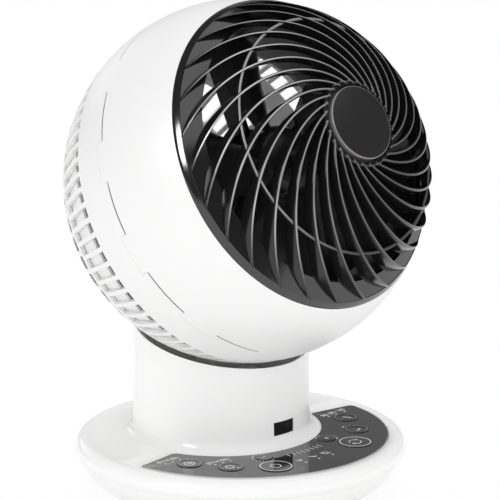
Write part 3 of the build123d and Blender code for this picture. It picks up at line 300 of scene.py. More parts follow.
# Two near colours, the smooth and the rubbed roughness, and what differs from plain plastic.
LOOKS = {
    "white_shell": ((0.912, 0.912, 0.908), (0.898, 0.898, 0.893), 0.34, 0.42, {}),
    "white_base": ((0.965, 0.965, 0.96), (0.955, 0.955, 0.95), 0.12, 0.20, {"gloss": 0.3}),
    "grille_black": ((0.008, 0.007, 0.008), (0.012, 0.011, 0.012), 0.10, 0.20, {}),
    "hub_black": ((0.020, 0.018, 0.019), (0.025, 0.023, 0.024), 0.30, 0.40, {}),
    "inner_black": ((0.007, 0.007, 0.008), (0.011, 0.010, 0.011), 0.35, 0.50, {"gloss": 0.25}),
    "impeller_black": ((0.010, 0.0095, 0.011), (0.018, 0.017, 0.019), 0.16, 0.30, {}),
    "steel": ((0.60, 0.60, 0.61), (0.50, 0.50, 0.51), 0.22, 0.40,
              {"metallic": 1.0, "grain_share": 0.6}),
    "motor_can": ((0.52, 0.52, 0.53), (0.42, 0.42, 0.44), 0.28, 0.45,
                  {"metallic": 1.0, "grain_share": 0.8}),
    "bronze": ((0.55, 0.36, 0.16), (0.42, 0.27, 0.12), 0.30, 0.50,
               {"metallic": 1.0, "grain_share": 1.0}),
    "rotor_iron": ((0.22, 0.21, 0.20), (0.14, 0.13, 0.13), 0.45, 0.65, {"metallic": 1.0}),
    "yoke_plastic": ((0.72, 0.71, 0.70), (0.66, 0.65, 0.64), 0.35, 0.50, {"bump": 0.04}),
    "gear_plastic": ((0.82, 0.82, 0.78), (0.76, 0.76, 0.70), 0.35, 0.50, {}),
    "foot_rubber": ((0.025, 0.025, 0.025), (0.045, 0.044, 0.043), 0.70, 0.85, {"bump": 0.06}),
    "ballast_steel": ((0.25, 0.25, 0.26), (0.16, 0.15, 0.15), 0.45, 0.60, {"metallic": 1.0}),
    "panel_grey": ((0.030, 0.027, 0.028), (0.035, 0.032, 0.033), 0.04, 0.09,
                   {"bump": 0.004, "gloss": 1.0}),
    "button_grey": ((0.030, 0.027, 0.028), (0.036, 0.033, 0.034), 0.06, 0.12,
                    {"bump": 0.004, "gloss": 1.0}),
    "board_green": ((0.02, 0.11, 0.045), (0.03, 0.15, 0.06), 0.35, 0.50, {}),
    "switch_black": ((0.02, 0.02, 0.02), (0.03, 0.03, 0.03), 0.40, 0.55, {}),
    "led_clear": ((0.80, 0.80, 0.74), (0.70, 0.70, 0.66), 0.10, 0.20, {}),
    "window_black": ((0.012, 0.010, 0.011), (0.016, 0.014, 0.015), 0.05, 0.10, {"bump": 0.002}),
    "frame_black": ((0.010, 0.009, 0.0095), (0.014, 0.012, 0.013), 0.10, 0.16, {"gloss": 1.0}),
    "print_light": ((0.88, 0.87, 0.86), (0.80, 0.79, 0.78), 0.35, 0.45, {"bump": 0.002}),
    "print_dim": ((0.30, 0.29, 0.29), (0.25, 0.24, 0.24), 0.30, 0.40, {"bump": 0.002}),
    "edge_silver": ((0.50, 0.49, 0.49), (0.40, 0.39, 0.39), 0.30, 0.42, {"metallic": 0.6}),
}
FINISHES = {name: finish(name, *look[:-1], **look[-1]) for name, look in LOOKS.items()}
# Painted highlight: the grille's and the frame's edges turn light and partly metallic.
for name in ("grille_black", "frame_black"):
    paint_highlight_on_edges(FINISHES[name], colour=(0.75, 0.74, 0.745), roughness=0.22, highlight_metallic=0.4)
print(len(FINISHES), "finishes")

# %% [markdown]
# ## Helpers for making pieces
# A piece is a mesh whose object stays at the origin. The finishing helper shades it
# smooth but keeps the creases sharper than an angle, then says which body carries it.

# %% Piece helpers
CREASE = math.radians(32)
SAME_POINT = 0.001 * MM
BALL = 105.0
HEAD_CENTRE = Vector((0, 0, 185 * MM))
TILT = math.radians(27)
# Local z of the head is the way the air leaves, local y is up.
HEAD = Matrix.Translation(HEAD_CENTRE) @ Matrix((
    (1, 0, 0, 0),
    (0, math.sin(TILT), -math.cos(TILT), 0),
    (0, math.cos(TILT), math.sin(TILT), 0),
    (0, 0, 0, 1),
))


def to_piece(name, mesh_in_work, body, slot, place=None, crease=CREASE, look=None):
    """Ends a bmesh as a piece: its place, smooth shading, material from the look or slot, and
    body.
    """
    if place is not None:
        mesh_in_work.transform(place)
    mesh = bpy.data.meshes.new(name)
    mesh_in_work.to_mesh(mesh)
    mesh_in_work.free()
    mesh.shade_smooth()
    mesh.set_sharp_from_angle(angle=crease)
    piece = bpy.data.objects.new(name, mesh)
    scene.collection.objects.link(piece)
    mesh.materials.append(FINISHES[look or slot])
    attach(piece, body)
    print(f"{name}: {len(mesh.polygons)} faces on {body}")
    return piece


def outward(work):
    """Merges doubles and turns every face outward."""
    bmesh.ops.remove_doubles(work, verts=work.verts, dist=SAME_POINT)
    bmesh.ops.recalc_face_normals(work, faces=work.faces)
    return work


# How strongly the painted highlight shows on each side: most at the left and the top, where the
# light falls, least low on the right.
LIT_SIDE_REACH = 85
LIT_SIDE_MIDDLE, LIT_SIDE_LEAST = 0.29, 0.12
LIT_SIDE_LEFT, LIT_SIDE_FAR_LEFT, LIT_SIDE_UP = 0.2, 0.55, 0.30


def mark_painted_highlight(work, value):
    """Stores a painted highlight for each vertex: value(distance from the axis, height) in
    millimetres.

    The painted highlight is strongest at the left and the top, where the light falls, and least
    low on the right.
    """
    layer = work.verts.layers.float.new("painted_highlight")
    for vertex in work.verts:
        x, y, height = vertex.co / MM
        side, up = x / LIT_SIDE_REACH, y / LIT_SIDE_REACH
        lit_side_share = (LIT_SIDE_MIDDLE - LIT_SIDE_LEFT * side + LIT_SIDE_UP * up
                   + LIT_SIDE_FAR_LEFT * min(side, 0) ** 2)
        amount = min(max(value(math.hypot(x, y), height), 0.0), 1.0)
        vertex[layer] = amount * min(max(lit_side_share, LIT_SIDE_LEAST), 1.0)


def on_ball(radius, degrees):
    """Distance from the head's axis and height of a point this many degrees off the axis."""
    return radius * math.sin(math.radians(degrees)), radius * math.cos(math.radians(degrees))


def turned(profile, steps, closed=True):
    """Spins a profile of (radius, height) in millimetres once round local z."""
    work = bmesh.new()
    points = [work.verts.new((r * MM, 0, h * MM)) for r, h in profile]
    pairs = list(zip(points, points[1:]))
    if closed:
        pairs.append((points[-1], points[0]))
    edges = [work.edges.new(pair) for pair in pairs]
    bmesh.ops.spin(work, geom=points + edges, cent=(0, 0, 0), axis=(0, 0, 1),
                   angle=math.tau, steps=steps, use_merge=True)
    return outward(work)


def sharp_edges(work, angle):
    """Edges between two faces that meet at more than this angle."""
    return [e for e in work.edges if len(e.link_faces) == 2 and e.calc_face_angle(0) > angle]


def round_edges(work, width, angle=math.radians(40), segments=2):
    """Bevels the edges sharper than this angle; the width is in millimetres."""
    bmesh.ops.bevel(work, geom=sharp_edges(work, angle), offset=width * MM, affect="EDGES",
                    segments=segments, profile=0.5, material=-1)
    return work


print("helpers ready")

# %% [markdown]
# ## Smooth skins for the moulded casings
# The CAD solids have the right shape, but they come as loose flat triangles, and gloss
# shows every facet. A copy with its doubles merged can carry true normals: on the ball
# they point away from its centre, and elsewhere the crease angle decides.

# %% Smooth copies
BALL_RADIUS = BALL * MM
BALL_INSIDE = 102.5 * MM
NEAR_BALL = 0.03 * MM
SKIN_MERGE = 0.002 * MM
FACING = 0.9


def smooth_copy(node, body, slot, ball=False, look=None):
    """A merged, smooth-shaded copy that stands for a CAD node."""
    work = bmesh.new()
    work.from_mesh(nodes[node].data)
    bmesh.ops.remove_doubles(work, verts=work.verts, dist=SKIN_MERGE)
    piece = to_piece(node + "_skin", work, body, slot, look=look)
    if ball:
        use_ball_normals(piece.data)
    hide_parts(node)


def use_ball_normals(mesh):
    """Radial normals on the faces that lie on the ball's outer or inner surface."""
    normals = [Vector(corner.vector) for corner in mesh.corner_normals]
    for face in mesh.polygons:
        away = (face.center - HEAD_CENTRE).normalized()
        for radius, side in ((BALL_RADIUS, 1), (BALL_INSIDE, -1)):
            on = all(abs((mesh.vertices[v].co - HEAD_CENTRE).length - radius) < NEAR_BALL
                     for v in face.vertices)
            if on and face.normal.dot(away) * side > FACING:
                for loop in face.loop_indices:
                    v = mesh.loops[loop].vertex_index
                    normals[loop] = side * (mesh.vertices[v].co - HEAD_CENTRE).normalized()
    mesh.normals_split_custom_set(normals)


smooth_copy("front_shell", "head", "white_shell", ball=True)
smooth_copy("rear_shell", "head", "white_shell", ball=True)
smooth_copy("base_top_cover", "base", "white_shell", look="white_base")
smooth_copy("base_bottom_cover", "base", "white_shell", look="white_base")
smooth_copy("air_duct", "head", "inner_black")
smooth_copy("impeller", "fan", "impeller_black")
smooth_copy("impeller_nut", "fan", "inner_black")
smooth_copy("neck_yoke", "neck", "yoke_plastic")
smooth_copy("receiver_window", "base", "window_black")
smooth_copy("control_panel", "base", "panel_grey")

# %% [markdown]
# ## The sleeve behind the first vent slots
# The photograph shows the slots nearest the seam grey only at their front ends and white
# behind, so a white sleeve lies just inside the shell there. It is a small section spun
# round the head's axis, open below, where the neck passes.

# %% Vent sleeve
SLEEVE_OUTER, SLEEVE_INNER = 102.3, 101.0
SLEEVE_START, SLEEVE_END = 107.6, 120.0
NECK_OPENING = 64.0

sleeve = bmesh.new()
angles = [SLEEVE_START + (SLEEVE_END - SLEEVE_START) * k / 4 for k in range(5)]
outline = [on_ball(SLEEVE_OUTER, a) for a in angles]
outline += [on_ball(SLEEVE_INNER, a) for a in reversed(angles)]
section = sleeve.faces.new([sleeve.verts.new((r * MM, 0, h * MM)) for r, h in outline])
sleeve.transform(Matrix.Rotation(math.radians(-90 + NECK_OPENING / 2), 4, "Z"))
bmesh.ops.spin(sleeve, geom=[section], cent=(0, 0, 0), axis=(0, 0, 1),
               angle=math.radians(360 - NECK_OPENING), steps=120, use_duplicate=False)
to_piece("vent_sleeve", outward(sleeve), "head", "white_shell", HEAD)

# %% [markdown]
# ## Painted shade in the seam
# Between the tabs of the front shell a narrow gap stays open, and the photograph shows it
# dark. A near-black strip lies in each gap, a little below the surface, as painted shade.

# %% Seam shade strips (painted shade)
# Each gap gets a near-black strip: painted shade where the gap is only in shadow.
SHADE_STRIP_LOW, SHADE_STRIP_HIGH = 3.92, 4.78
SHADE_STRIP_INSIDE, SHADE_STRIP_OUTSIDE = 102.7, 104.7
TAB_COUNT = 12
FIRST_GAP = 31.0
GAP_SPAN = 16.4

shade_strip = bmesh.new()
for k in range(TAB_COUNT):
    corners = [(SHADE_STRIP_INSIDE, SHADE_STRIP_LOW), (SHADE_STRIP_OUTSIDE, SHADE_STRIP_LOW), (SHADE_STRIP_OUTSIDE, SHADE_STRIP_HIGH),
               (SHADE_STRIP_INSIDE, SHADE_STRIP_HIGH)]
    start = FIRST_GAP + 360 / TAB_COUNT * k - GAP_SPAN / 2
    swing = Matrix.Rotation(math.radians(start), 4, "Z")
    section = shade_strip.faces.new([shade_strip.verts.new(swing @ Vector((r * MM, 0, h * MM)))
                              for r, h in corners])
    bmesh.ops.spin(shade_strip, geom=[section], cent=(0, 0, 0), axis=(0, 0, 1),
                   angle=math.radians(GAP_SPAN), steps=16, use_duplicate=False)
to_piece("seam_shade_strip", outward(shade_strip), "head", "foot_rubber", HEAD)

# %% [markdown]
# ## The swept grille
# This is the piece that gives the fan its face: thin deep ribs on circular arcs, all
# drawn to the hub, under a dome that stands a little outside the ball. One rib starts as
# a small upright rectangle. Spinning it about the centre of its arc makes a curved wall;
# lifting its vertices to the dome gives it its crown; a bevel rounds its edges so that
# they catch the light; towards the rim it thins out. Then it is copied round the hub.

# %% Sizes of the grille
RIM_RADIUS = 91.83
RIM_ANGLE = 61
BAND_WIDTH = 5.0
FRAME_STEP = 0.6
FRAME_RADIUS = 79.53
FRAME_FRONT = 61.8
FRAME_LIP = 2.7
SEAT_HEIGHT = 46.4
GRILLE_PLAY = 0.3
DOME_CREST = 107.0 * math.sqrt(0.5)
HUB_COLLAR = 25.0
HUB_DOME = 100.2
RIB_COUNT = 27
RIB_THICKNESS = 1.5
RIB_ROUND = 0.56
RIB_ROOT = 0.5
RIB_FIRST = 11.44
RIB_SWEEP = 96.7
RIB_BOW = 28.2
RIB_DEPTH_HUB = 5.5
RIB_DEPTH_CREST = 6.0
RIB_STEPS = 48
RIM_OVERLAP = 0.4
HUB_OVERLAP = 2
THIN_FROM = 68.0
THINNED = 0.5
BELOW_BALL = 0.05
BELOW_SLOPE = 0.8


def circle_through(a, b, c):
    """Centre and radius of the circle through three points of a plane."""
    d = 2 * (a[0] * (b[1] - c[1]) + b[0] * (c[1] - a[1]) + c[0] * (a[1] - b[1]))
    sq = [p[0] ** 2 + p[1] ** 2 for p in (a, b, c)]
    x = (sq[0] * (b[1] - c[1]) + sq[1] * (c[1] - a[1]) + sq[2] * (a[1] - b[1])) / d
    y = (sq[0] * (c[0] - b[0]) + sq[1] * (a[0] - c[0]) + sq[2] * (b[0] - a[0])) / d
    return (x, y), math.hypot(a[0] - x, a[1] - y)


RIM_POINT = on_ball(BALL, RIM_ANGLE - math.degrees(BAND_WIDTH / BALL))
dome_centre, dome_radius = circle_through((HUB_COLLAR, HUB_DOME), (DOME_CREST, DOME_CREST),
                                          RIM_POINT)


def towards_dome_centre(point, depth):
    """The point moved this far towards the centre of the dome's arc."""
    run, up = point[0] - dome_centre[0], point[1] - dome_centre[1]
    share = 1 - depth / math.hypot(run, up)
    return dome_centre[0] + run * share, dome_centre[1] + up * share


rib_foot = (FRAME_RADIUS + RIB_ROOT, FRAME_FRONT - 2 * RIB_ROOT)
under_centre, under_radius = circle_through(
    rib_foot, towards_dome_centre((DOME_CREST, DOME_CREST), RIB_DEPTH_CREST),
    towards_dome_centre((HUB_COLLAR, HUB_DOME), RIB_DEPTH_HUB))
FRAME_SLOPE = (FRAME_FRONT - RIM_POINT[1] + FRAME_STEP) / (RIM_POINT[0] - FRAME_RADIUS)


def height_on(centre, radius, distance):
    """Height of an arc over this distance from the head axis."""
    return centre[1] + math.sqrt(max(radius ** 2 - (distance - centre[0]) ** 2, 0))


def rib_top(distance):
    """The dome's height; past the frame's edge, just below the ball's surface."""
    if distance > RIM_POINT[0]:
        return math.sqrt(BALL ** 2 - distance ** 2) - BELOW_BALL
    return height_on(dome_centre, dome_radius, max(distance, HUB_COLLAR))


def rib_bottom(distance):
    """The free lower edge of a rib, then a line just inside the frame's slope."""
    if distance < rib_foot[0]:
        return height_on(under_centre, under_radius, max(distance, HUB_COLLAR))
    return FRAME_FRONT - BELOW_SLOPE - FRAME_SLOPE * (distance - FRAME_RADIUS)


print("dome radius", round(dome_radius, 2), "rib underside radius", round(under_radius, 2))

# %% One rib, spun, lifted and rounded
CROWN_ANGLE = math.radians(20)
CROWN_BAND = 0.6
CROWN_END = 0.3
END_STEP = 0.002


def rib_arc():
    """Centre and radius of a rib's arc along the head axis, and where it starts and ends."""
    turn_back = math.radians(-RIB_SWEEP)
    hub_reach = HUB_COLLAR - HUB_OVERLAP
    hub_end = (hub_reach * math.cos(turn_back), hub_reach * math.sin(turn_back))
    run, up = RIM_RADIUS - hub_end[0], -hub_end[1]
    chord = math.hypot(run, up)
    radius = (chord ** 2 / 4 + RIB_BOW ** 2) / (2 * RIB_BOW)
    lever = (radius - RIB_BOW) / chord
    centre = ((RIM_RADIUS + hub_end[0]) / 2 - up * lever, hub_end[1] / 2 + run * lever)
    start = math.atan2(hub_end[1] - centre[1], hub_end[0] - centre[0])
    end = math.atan2(-centre[1], RIM_RADIUS - centre[0])
    # The arc is drawn to the rim, but the rib stops just inside the frame's band.
    while math.hypot(centre[0] + radius * math.cos(end),
                     centre[1] + radius * math.sin(end)) > RIM_POINT[0] + RIM_OVERLAP:
        end -= END_STEP
    return centre, radius, start, end


def axis_distance(place):
    """Distance of a place in metres from the head's axis, in millimetres."""
    return math.hypot(place.x, place.y) / MM


def one_rib():
    """A rib in head coordinates: a spun wall between the dome and the lower curve."""
    centre, radius, start, end = rib_arc()
    middle_line = Vector((centre[0] * MM, centre[1] * MM, 0))
    work = bmesh.new()
    bmesh.ops.create_grid(work, x_segments=1, y_segments=1, size=0.5)
    bmesh.ops.scale(work, vec=(RIB_THICKNESS * MM, 1, 1), verts=work.verts)
    stand_up = Matrix.Rotation(math.radians(90), 4, "X")
    work.transform(Matrix.Translation(middle_line) @ Matrix.Rotation(start, 4, "Z")
                   @ Matrix.Translation((radius * MM, 0, 0)) @ stand_up)
    bmesh.ops.spin(work, geom=work.faces[:], cent=middle_line, axis=(0, 0, 1),
                   angle=end - start, steps=RIB_STEPS, use_duplicate=False)
    for vertex in work.verts:
        distance = axis_distance(vertex.co)
        vertex.co.z = (rib_top(distance) if vertex.co.z > 0 else rib_bottom(distance)) * MM
    outward(work)
    crown = []
    for edge in sharp_edges(work, CROWN_ANGLE):
        middle = sum((v.co for v in edge.verts), Vector()) / 2
        distance = axis_distance(middle)
        if (abs(middle.z / MM - rib_top(distance)) < CROWN_BAND
                and HUB_COLLAR < distance < RIM_POINT[0] - CROWN_END):
            crown.append(edge)
    bmesh.ops.bevel(work, geom=crown, offset=RIB_ROUND * MM, affect="EDGES", segments=4,
                    profile=0.5, material=-1)
    for vertex in work.verts:
        distance = axis_distance(vertex.co)
        share = (distance - THIN_FROM) / (RIM_POINT[0] - THIN_FROM)
        thin = 1 - THINNED * min(max(share, 0), 1)
        way = Vector((vertex.co.x, vertex.co.y, 0)) - middle_line
        vertex.co -= way.normalized() * (way.length - radius * MM) * (1 - thin)
        vertex.co.z += (rib_top(axis_distance(vertex.co)) - rib_top(distance)) * MM
    return work


rib = one_rib()
ribs = bmesh.new()
rib_mesh = bpy.data.meshes.new("one_rib")
rib.to_mesh(rib_mesh)
rib.free()
for k in range(RIB_COUNT):
    turned_rib = rib_mesh.copy()
    turned_rib.transform(Matrix.Rotation(math.radians(RIB_FIRST + 360 / RIB_COUNT * k), 4, "Z"))
    ribs.from_mesh(turned_rib)
    bpy.data.meshes.remove(turned_rib)
bpy.data.meshes.remove(rib_mesh)
CROWN_FADE = 0.06
RIM_FADE = 12.0
HUB_FADE = 0.5


def rib_painted_highlight(distance, height):
    """Only a rib's crown gets the painted highlight, and towards the rim less and less."""
    if distance <= HUB_COLLAR - HUB_FADE:
        return 0
    crown_share = 1 - (rib_top(distance) - height) / CROWN_FADE
    return crown_share * min((RIM_POINT[0] - distance) / RIM_FADE, 1)


# Painted highlight on the rib crowns.
mark_painted_highlight(ribs, rib_painted_highlight)
grille_ribs = to_piece("grille_ribs", ribs, "head", "grille_black", HEAD)

# %% [markdown]
# The ribs end in a frame: a narrow band that carries on the ball's surface, a small step,
# and a ring that slopes up to the frame's inner edge, from which the ribs grow. A thin
# ring ties the ribs together further in. These are turned shapes, so a spin makes them.

# %% Frame, thin ring and hub seat
FRAME_WALL = 2.0
FRAME_ROUND, FRAME_CREASE = 0.22, math.radians(30)
INNER_HIGHLIGHT, INNER_FADE = 0.7, 0.12
STEP_HIGHLIGHT, STEP_FADE = 0.8, 0.3
edge = RIM_RADIUS - GRILLE_PLAY
edge_angle = math.degrees(math.asin(edge / BALL))
band_end = math.degrees(math.asin(RIM_POINT[0] / BALL))
band = [on_ball(BALL, edge_angle + (band_end - edge_angle) * k / 4) for k in range(5)]
inside_wall = edge - FRAME_WALL
frame_profile = [(edge, SEAT_HEIGHT)] + band + [
    (RIM_POINT[0], RIM_POINT[1] - FRAME_STEP), (FRAME_RADIUS, FRAME_FRONT),
    (FRAME_RADIUS, FRAME_FRONT - FRAME_LIP),
    (inside_wall, FRAME_FRONT - FRAME_LIP - FRAME_SLOPE * (inside_wall - FRAME_RADIUS)),
    (inside_wall, SEAT_HEIGHT)]
rim_frame = round_edges(turned(frame_profile, 192), FRAME_ROUND, FRAME_CREASE)
# Painted highlight along the frame's inner front edge and at its step.
mark_painted_highlight(rim_frame, lambda distance, height: max(
    INNER_HIGHLIGHT - (FRAME_FRONT - height) / INNER_FADE,
    STEP_HIGHLIGHT - abs(distance - RIM_POINT[0]) / STEP_FADE - abs(height - RIM_POINT[1]) / STEP_FADE))
grille_frame = to_piece("grille_frame", rim_frame, "head", "grille_black", HEAD,
                        look="frame_black")

RING_INSET = 10.8
RING_RADIUS = FRAME_RADIUS - RING_INSET
RING_HALF, RING_DEPTH = 0.8, 2.4
RING_DROP, RING_ROUND = 1.6, 0.4
RING_HIGHLIGHT, RING_FADE = 0.8, 0.5
ring_top = rib_top(RING_RADIUS) - RING_DROP
ring_low = ring_top - RING_DEPTH
ring = turned([(RING_RADIUS + RING_HALF, ring_top), (RING_RADIUS - RING_HALF, ring_top),
               (RING_RADIUS - RING_HALF, ring_low), (RING_RADIUS + RING_HALF, ring_low)], 144)
round_edges(ring, RING_ROUND, segments=3)
# Painted highlight along the thin ring's front edges.
mark_painted_highlight(ring, lambda distance, height: RING_HIGHLIGHT - (ring_top - height) / RING_FADE)
grille_ring = to_piece("grille_ring", ring, "head", "grille_black", HEAD)

SEAT_BACK, SEAT_FLOOR, SEAT_FRONT = 94.7, 98.0, 99.6
SEAT_BORE, SEAT_CHAMFER, SEAT_ROUND = 21.4, 0.8, 0.2
SEAT_HIGHLIGHT, SEAT_FADE = 0.3, 0.5
seat = turned([(0, SEAT_BACK), (HUB_COLLAR, SEAT_BACK), (HUB_COLLAR, SEAT_FRONT - SEAT_CHAMFER),
               (HUB_COLLAR - SEAT_CHAMFER, SEAT_FRONT), (SEAT_BORE, SEAT_FRONT),
               (SEAT_BORE, SEAT_FLOOR), (0, SEAT_FLOOR)], 108, closed=False)
round_edges(seat, SEAT_ROUND)
# A faint painted highlight on the seat's chamfer.
mark_painted_highlight(seat, lambda distance, height: SEAT_HIGHLIGHT
          - abs(distance - HUB_COLLAR + SEAT_CHAMFER / 2) / SEAT_FADE
          - abs(height - SEAT_FRONT + SEAT_CHAMFER / 2) / SEAT_CHAMFER)
grille_seat = to_piece("grille_seat", seat, "head", "grille_black", HEAD)
for piece in (grille_ribs, grille_frame, grille_ring, grille_seat):
    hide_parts("front_grille")

# %% [markdown]
# ## The hub disc
# A flat satin disc closes the middle of the grille. Its edge is a narrow bright chamfer.
# The disc is left bare.

# %% Hub disc and its bright edge
DISC_RADIUS, DISC_FRONT = 20.75, 101.75
EDGE_RADIUS, EDGE_FRONT = 21.1, 101.8
EDGE_CHAMFER = 0.25
disc = turned([(0, SEAT_FLOOR), (DISC_RADIUS, SEAT_FLOOR), (DISC_RADIUS, DISC_FRONT),
               (0, DISC_FRONT)], 96, closed=False)
hub_disc = to_piece("hub_disc", round_edges(disc, 0.1), "head", "hub_black", HEAD)
edge_ring = turned([(DISC_RADIUS, SEAT_FLOOR), (EDGE_RADIUS, SEAT_FLOOR),
                    (EDGE_RADIUS, EDGE_FRONT - EDGE_CHAMFER),
                    (EDGE_RADIUS - EDGE_CHAMFER, EDGE_FRONT), (DISC_RADIUS, EDGE_FRONT)], 96)
hub_edge = to_piece("hub_edge", round_edges(edge_ring, 0.06), "head", "hub_black", HEAD,
                    look="edge_silver")
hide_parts("hub_cap")
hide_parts("hub_cap")

# %% [markdown]
# ## The buttons
# Each button is a turned cap with a flange and a stem underneath, so one profile spun
# about its own upright axis makes it. Four are dished, with a raised middle; the two
# large ones and the two small ones are flat. A profile keeps the section easy to change.

# %% Buttons
BUTTON_TOP = 33.9
FLANGE = 1.3
FLANGE_LOW, FLANGE_HIGH = 29.6, 30.8
STEM_RADIUS, STEM_FOOT = 2.5, 25.65
# Steps of a profile: how far inside a radius, and how far below the button's top.
RIM_STEPS = [(0, 0.35), (0.1, 0.1), (0.35, 0), (0.8, 0)]
SLOPE_STEPS = [(1.2, 0.22)]
DISH_STEPS = [(-0.7, 0.42), (-0.2, 0.36), (0, 0.2), (0.5, 0.22)]
DISH_SHARE = 0.55
DISH_MIDDLE = 0.34
DISHED = ["on_timer_button", "off_timer_button", "tilt_swing_button", "side_swing_button"]
FLAT = ["power_button", "mode_button"]
SMALL = ["speed_minus_button", "speed_plus_button"]


def button_place(name):
    """Centre and cap radius of a button in millimetres, from its CAD box."""
    low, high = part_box(name)
    centre = ((low[0] + high[0]) / 2 / MM, (low[1] + high[1]) / 2 / MM)
    return centre[0], centre[1], (high[0] - low[0]) / 2 / MM - FLANGE


def steps_in(radius, steps):
    """Profile points from (inset, drop) pairs."""
    return [(radius - inset, BUTTON_TOP - drop) for inset, drop in steps]


def button_cap(name):
    """The cap, flange and stem of one button; it takes the place of the CAD button."""
    x, y, radius = button_place(name)
    profile = [(0, STEM_FOOT), (STEM_RADIUS, STEM_FOOT), (STEM_RADIUS, FLANGE_LOW),
               (radius + FLANGE, FLANGE_LOW), (radius + FLANGE, FLANGE_HIGH),
               (radius, FLANGE_HIGH)] + steps_in(radius, RIM_STEPS)
    if name in DISHED:
        profile += steps_in(radius, SLOPE_STEPS) + steps_in(DISH_SHARE * radius, DISH_STEPS)
        profile += [(0, BUTTON_TOP - DISH_MIDDLE)]
    else:
        profile += [(0, BUTTON_TOP)]
    cap = turned(profile, 64, closed=False)
    piece = to_piece(name + "_cap", cap, name, "button_grey",
                     Matrix.Translation((x * MM, y * MM, 0)), crease=math.radians(25))
    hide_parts(name)


for name in DISHED + FLAT + SMALL:
    button_cap(name)

# %% [markdown]
# ## The printed marks
# The panel's marks are light ink: rings round the buttons, ticks of the speed bar, small
# numbers beside the lamps and simple signs. Each mark is a stroke, so a curve with a
# small round section draws it, flattened until it lies on the panel like ink.

# %% Strokes
PANEL_TOP = 33.4
PROUD = 0.01
FLATTENED = 0.3
MARK_INK, LAMP_INK = 0.28, 0.42
RING_INK, SIGN_INK, BUTTON_INK = 0.2, 0.36, 0.30


def strokes(name, lines, body, level, width, look="print_light"):
    """Thin flat strokes along polylines of (x, y) in millimetres."""
    drawing = bpy.data.curves.new(name, "CURVE")
    drawing.dimensions = "3D"
    drawing.bevel_depth = width * MM
    drawing.bevel_resolution = 1
    for points in lines:
        closed = len(points) > 2 and points[0] == points[-1]
        points = points[:-1] if closed else points
        spline = drawing.splines.new("POLY")
        spline.points.add(len(points) - 1)
        for place, (x, y) in zip(spline.points, points):
            place.co = (x * MM, y * MM, 0, 1)
        spline.use_cyclic_u = closed
    holder = bpy.data.objects.new(name, drawing)
    mesh = bpy.data.meshes.new_from_object(holder)
    bpy.data.objects.remove(holder)
    work = bmesh.new()
    work.from_mesh(mesh)
    bpy.data.meshes.remove(mesh)
    bmesh.ops.scale(work, vec=(1, 1, FLATTENED), verts=work.verts)
    bmesh.ops.translate(work, vec=(0, 0, level * MM), verts=work.verts)
    bmesh.ops.recalc_face_normals(work, faces=work.faces)
    to_piece(name, work, body, "panel_grey", look=look)


def bow(x, y, radius, start, end, steps=24):
    """Points on an arc; degrees from +x."""
    turns = [math.radians(start + (end - start) * k / steps) for k in range(steps + 1)]
    points = [(x + radius * math.cos(a), y + radius * math.sin(a)) for a in turns]
    return points[:-1] + points[:1] if abs(end - start) >= 360 else points


# Polylines of the few signs in use, in a box 0.6 wide and 1 high.
GLYPHS = {
    "0": [[(0, 0), (0.6, 0), (0.6, 1), (0, 1), (0, 0)]],
    "1": [[(0.1, 0.8), (0.35, 1), (0.35, 0)]],
    "2": [[(0, 1), (0.6, 1), (0.6, 0.5), (0, 0.5), (0, 0), (0.6, 0)]],
    "4": [[(0, 1), (0, 0.4), (0.6, 0.4)], [(0.45, 0.7), (0.45, 0)]],
    "6": [[(0.6, 1), (0, 1), (0, 0), (0.6, 0), (0.6, 0.5), (0, 0.5)]],
    "8": [[(0, 0), (0.6, 0), (0.6, 1), (0, 1), (0, 0)], [(0, 0.5), (0.6, 0.5)]],
    "9": [[(0, 0), (0.6, 0), (0.6, 1), (0, 1), (0, 0.5), (0.6, 0.5)]],
    "h": [[(0, 1), (0, 0)], [(0, 0.5), (0.5, 0.5), (0.5, 0)]],
}


def written(text, x, y, height):
    """Small stroke numbers, centred on a place."""
    pitch = 0.95 * height
    start = x - (len(text) - 1) * pitch / 2 - 0.3 * height
    return [[(start + k * pitch + px * height, y + (py - 0.5) * height) for px, py in line]
            for k, sign in enumerate(text) for line in GLYPHS[sign]]


# %% Marks on the panel
LEFT_HOURS = [((-73.8, -5.8), "2"), ((-68.2, -6.1), "4"), ((-62.5, -6.0), "8"),
              ((-54.5, -26.8), "2"), ((-48.9, -27.4), "4"), ((-43.6, -27.7), "8")]
RIGHT_WIDTHS = [((59.2, -7.2), "60"), ((66.0, -6.8), "90"), ((73.4, -6.6), "120")]
MODE_LAMP = (49.8, -31.6)
PROGRAMME_LAMPS = [(-14.9, -63.9), (-4.2, -64.0), (6.8, -64.3)]
LAMP_DROP = 3.9
LAMP_HALF = 0.9
HOUR_HEIGHT, WIDTH_HEIGHT = 3.0, 2.55
TICK_CENTRE = (0, 20.4)
TICK_INNER, TICK_OUTER = 67.0, 71.2
TICK_COUNT, TICK_FIRST, TICK_PITCH = 8, -100.3, 3.05
RAY_COUNT, RAY_PITCH = 11, 18
RAY_INNER, RAY_OUTER = 0.3, 1.6


def spoke(x, y, degrees, inner, outer):
    """A straight stroke that points away from (x, y)."""
    way = math.radians(degrees)
    return [(x + r * math.cos(way), y + r * math.sin(way)) for r in (inner, outer)]


marks = []
lamps = [MODE_LAMP] + PROGRAMME_LAMPS
for (x, y), text in LEFT_HOURS:
    marks += written(text + "h", x, y, HOUR_HEIGHT)
    lamps.append((x, y - LAMP_DROP))
for (x, y), text in RIGHT_WIDTHS:
    marks += written(text, x, y, WIDTH_HEIGHT)
    lamps.append((x, y - LAMP_DROP))
for k in range(TICK_COUNT):
    marks.append(spoke(*TICK_CENTRE, TICK_FIRST + TICK_PITCH * k, TICK_INNER, TICK_OUTER))
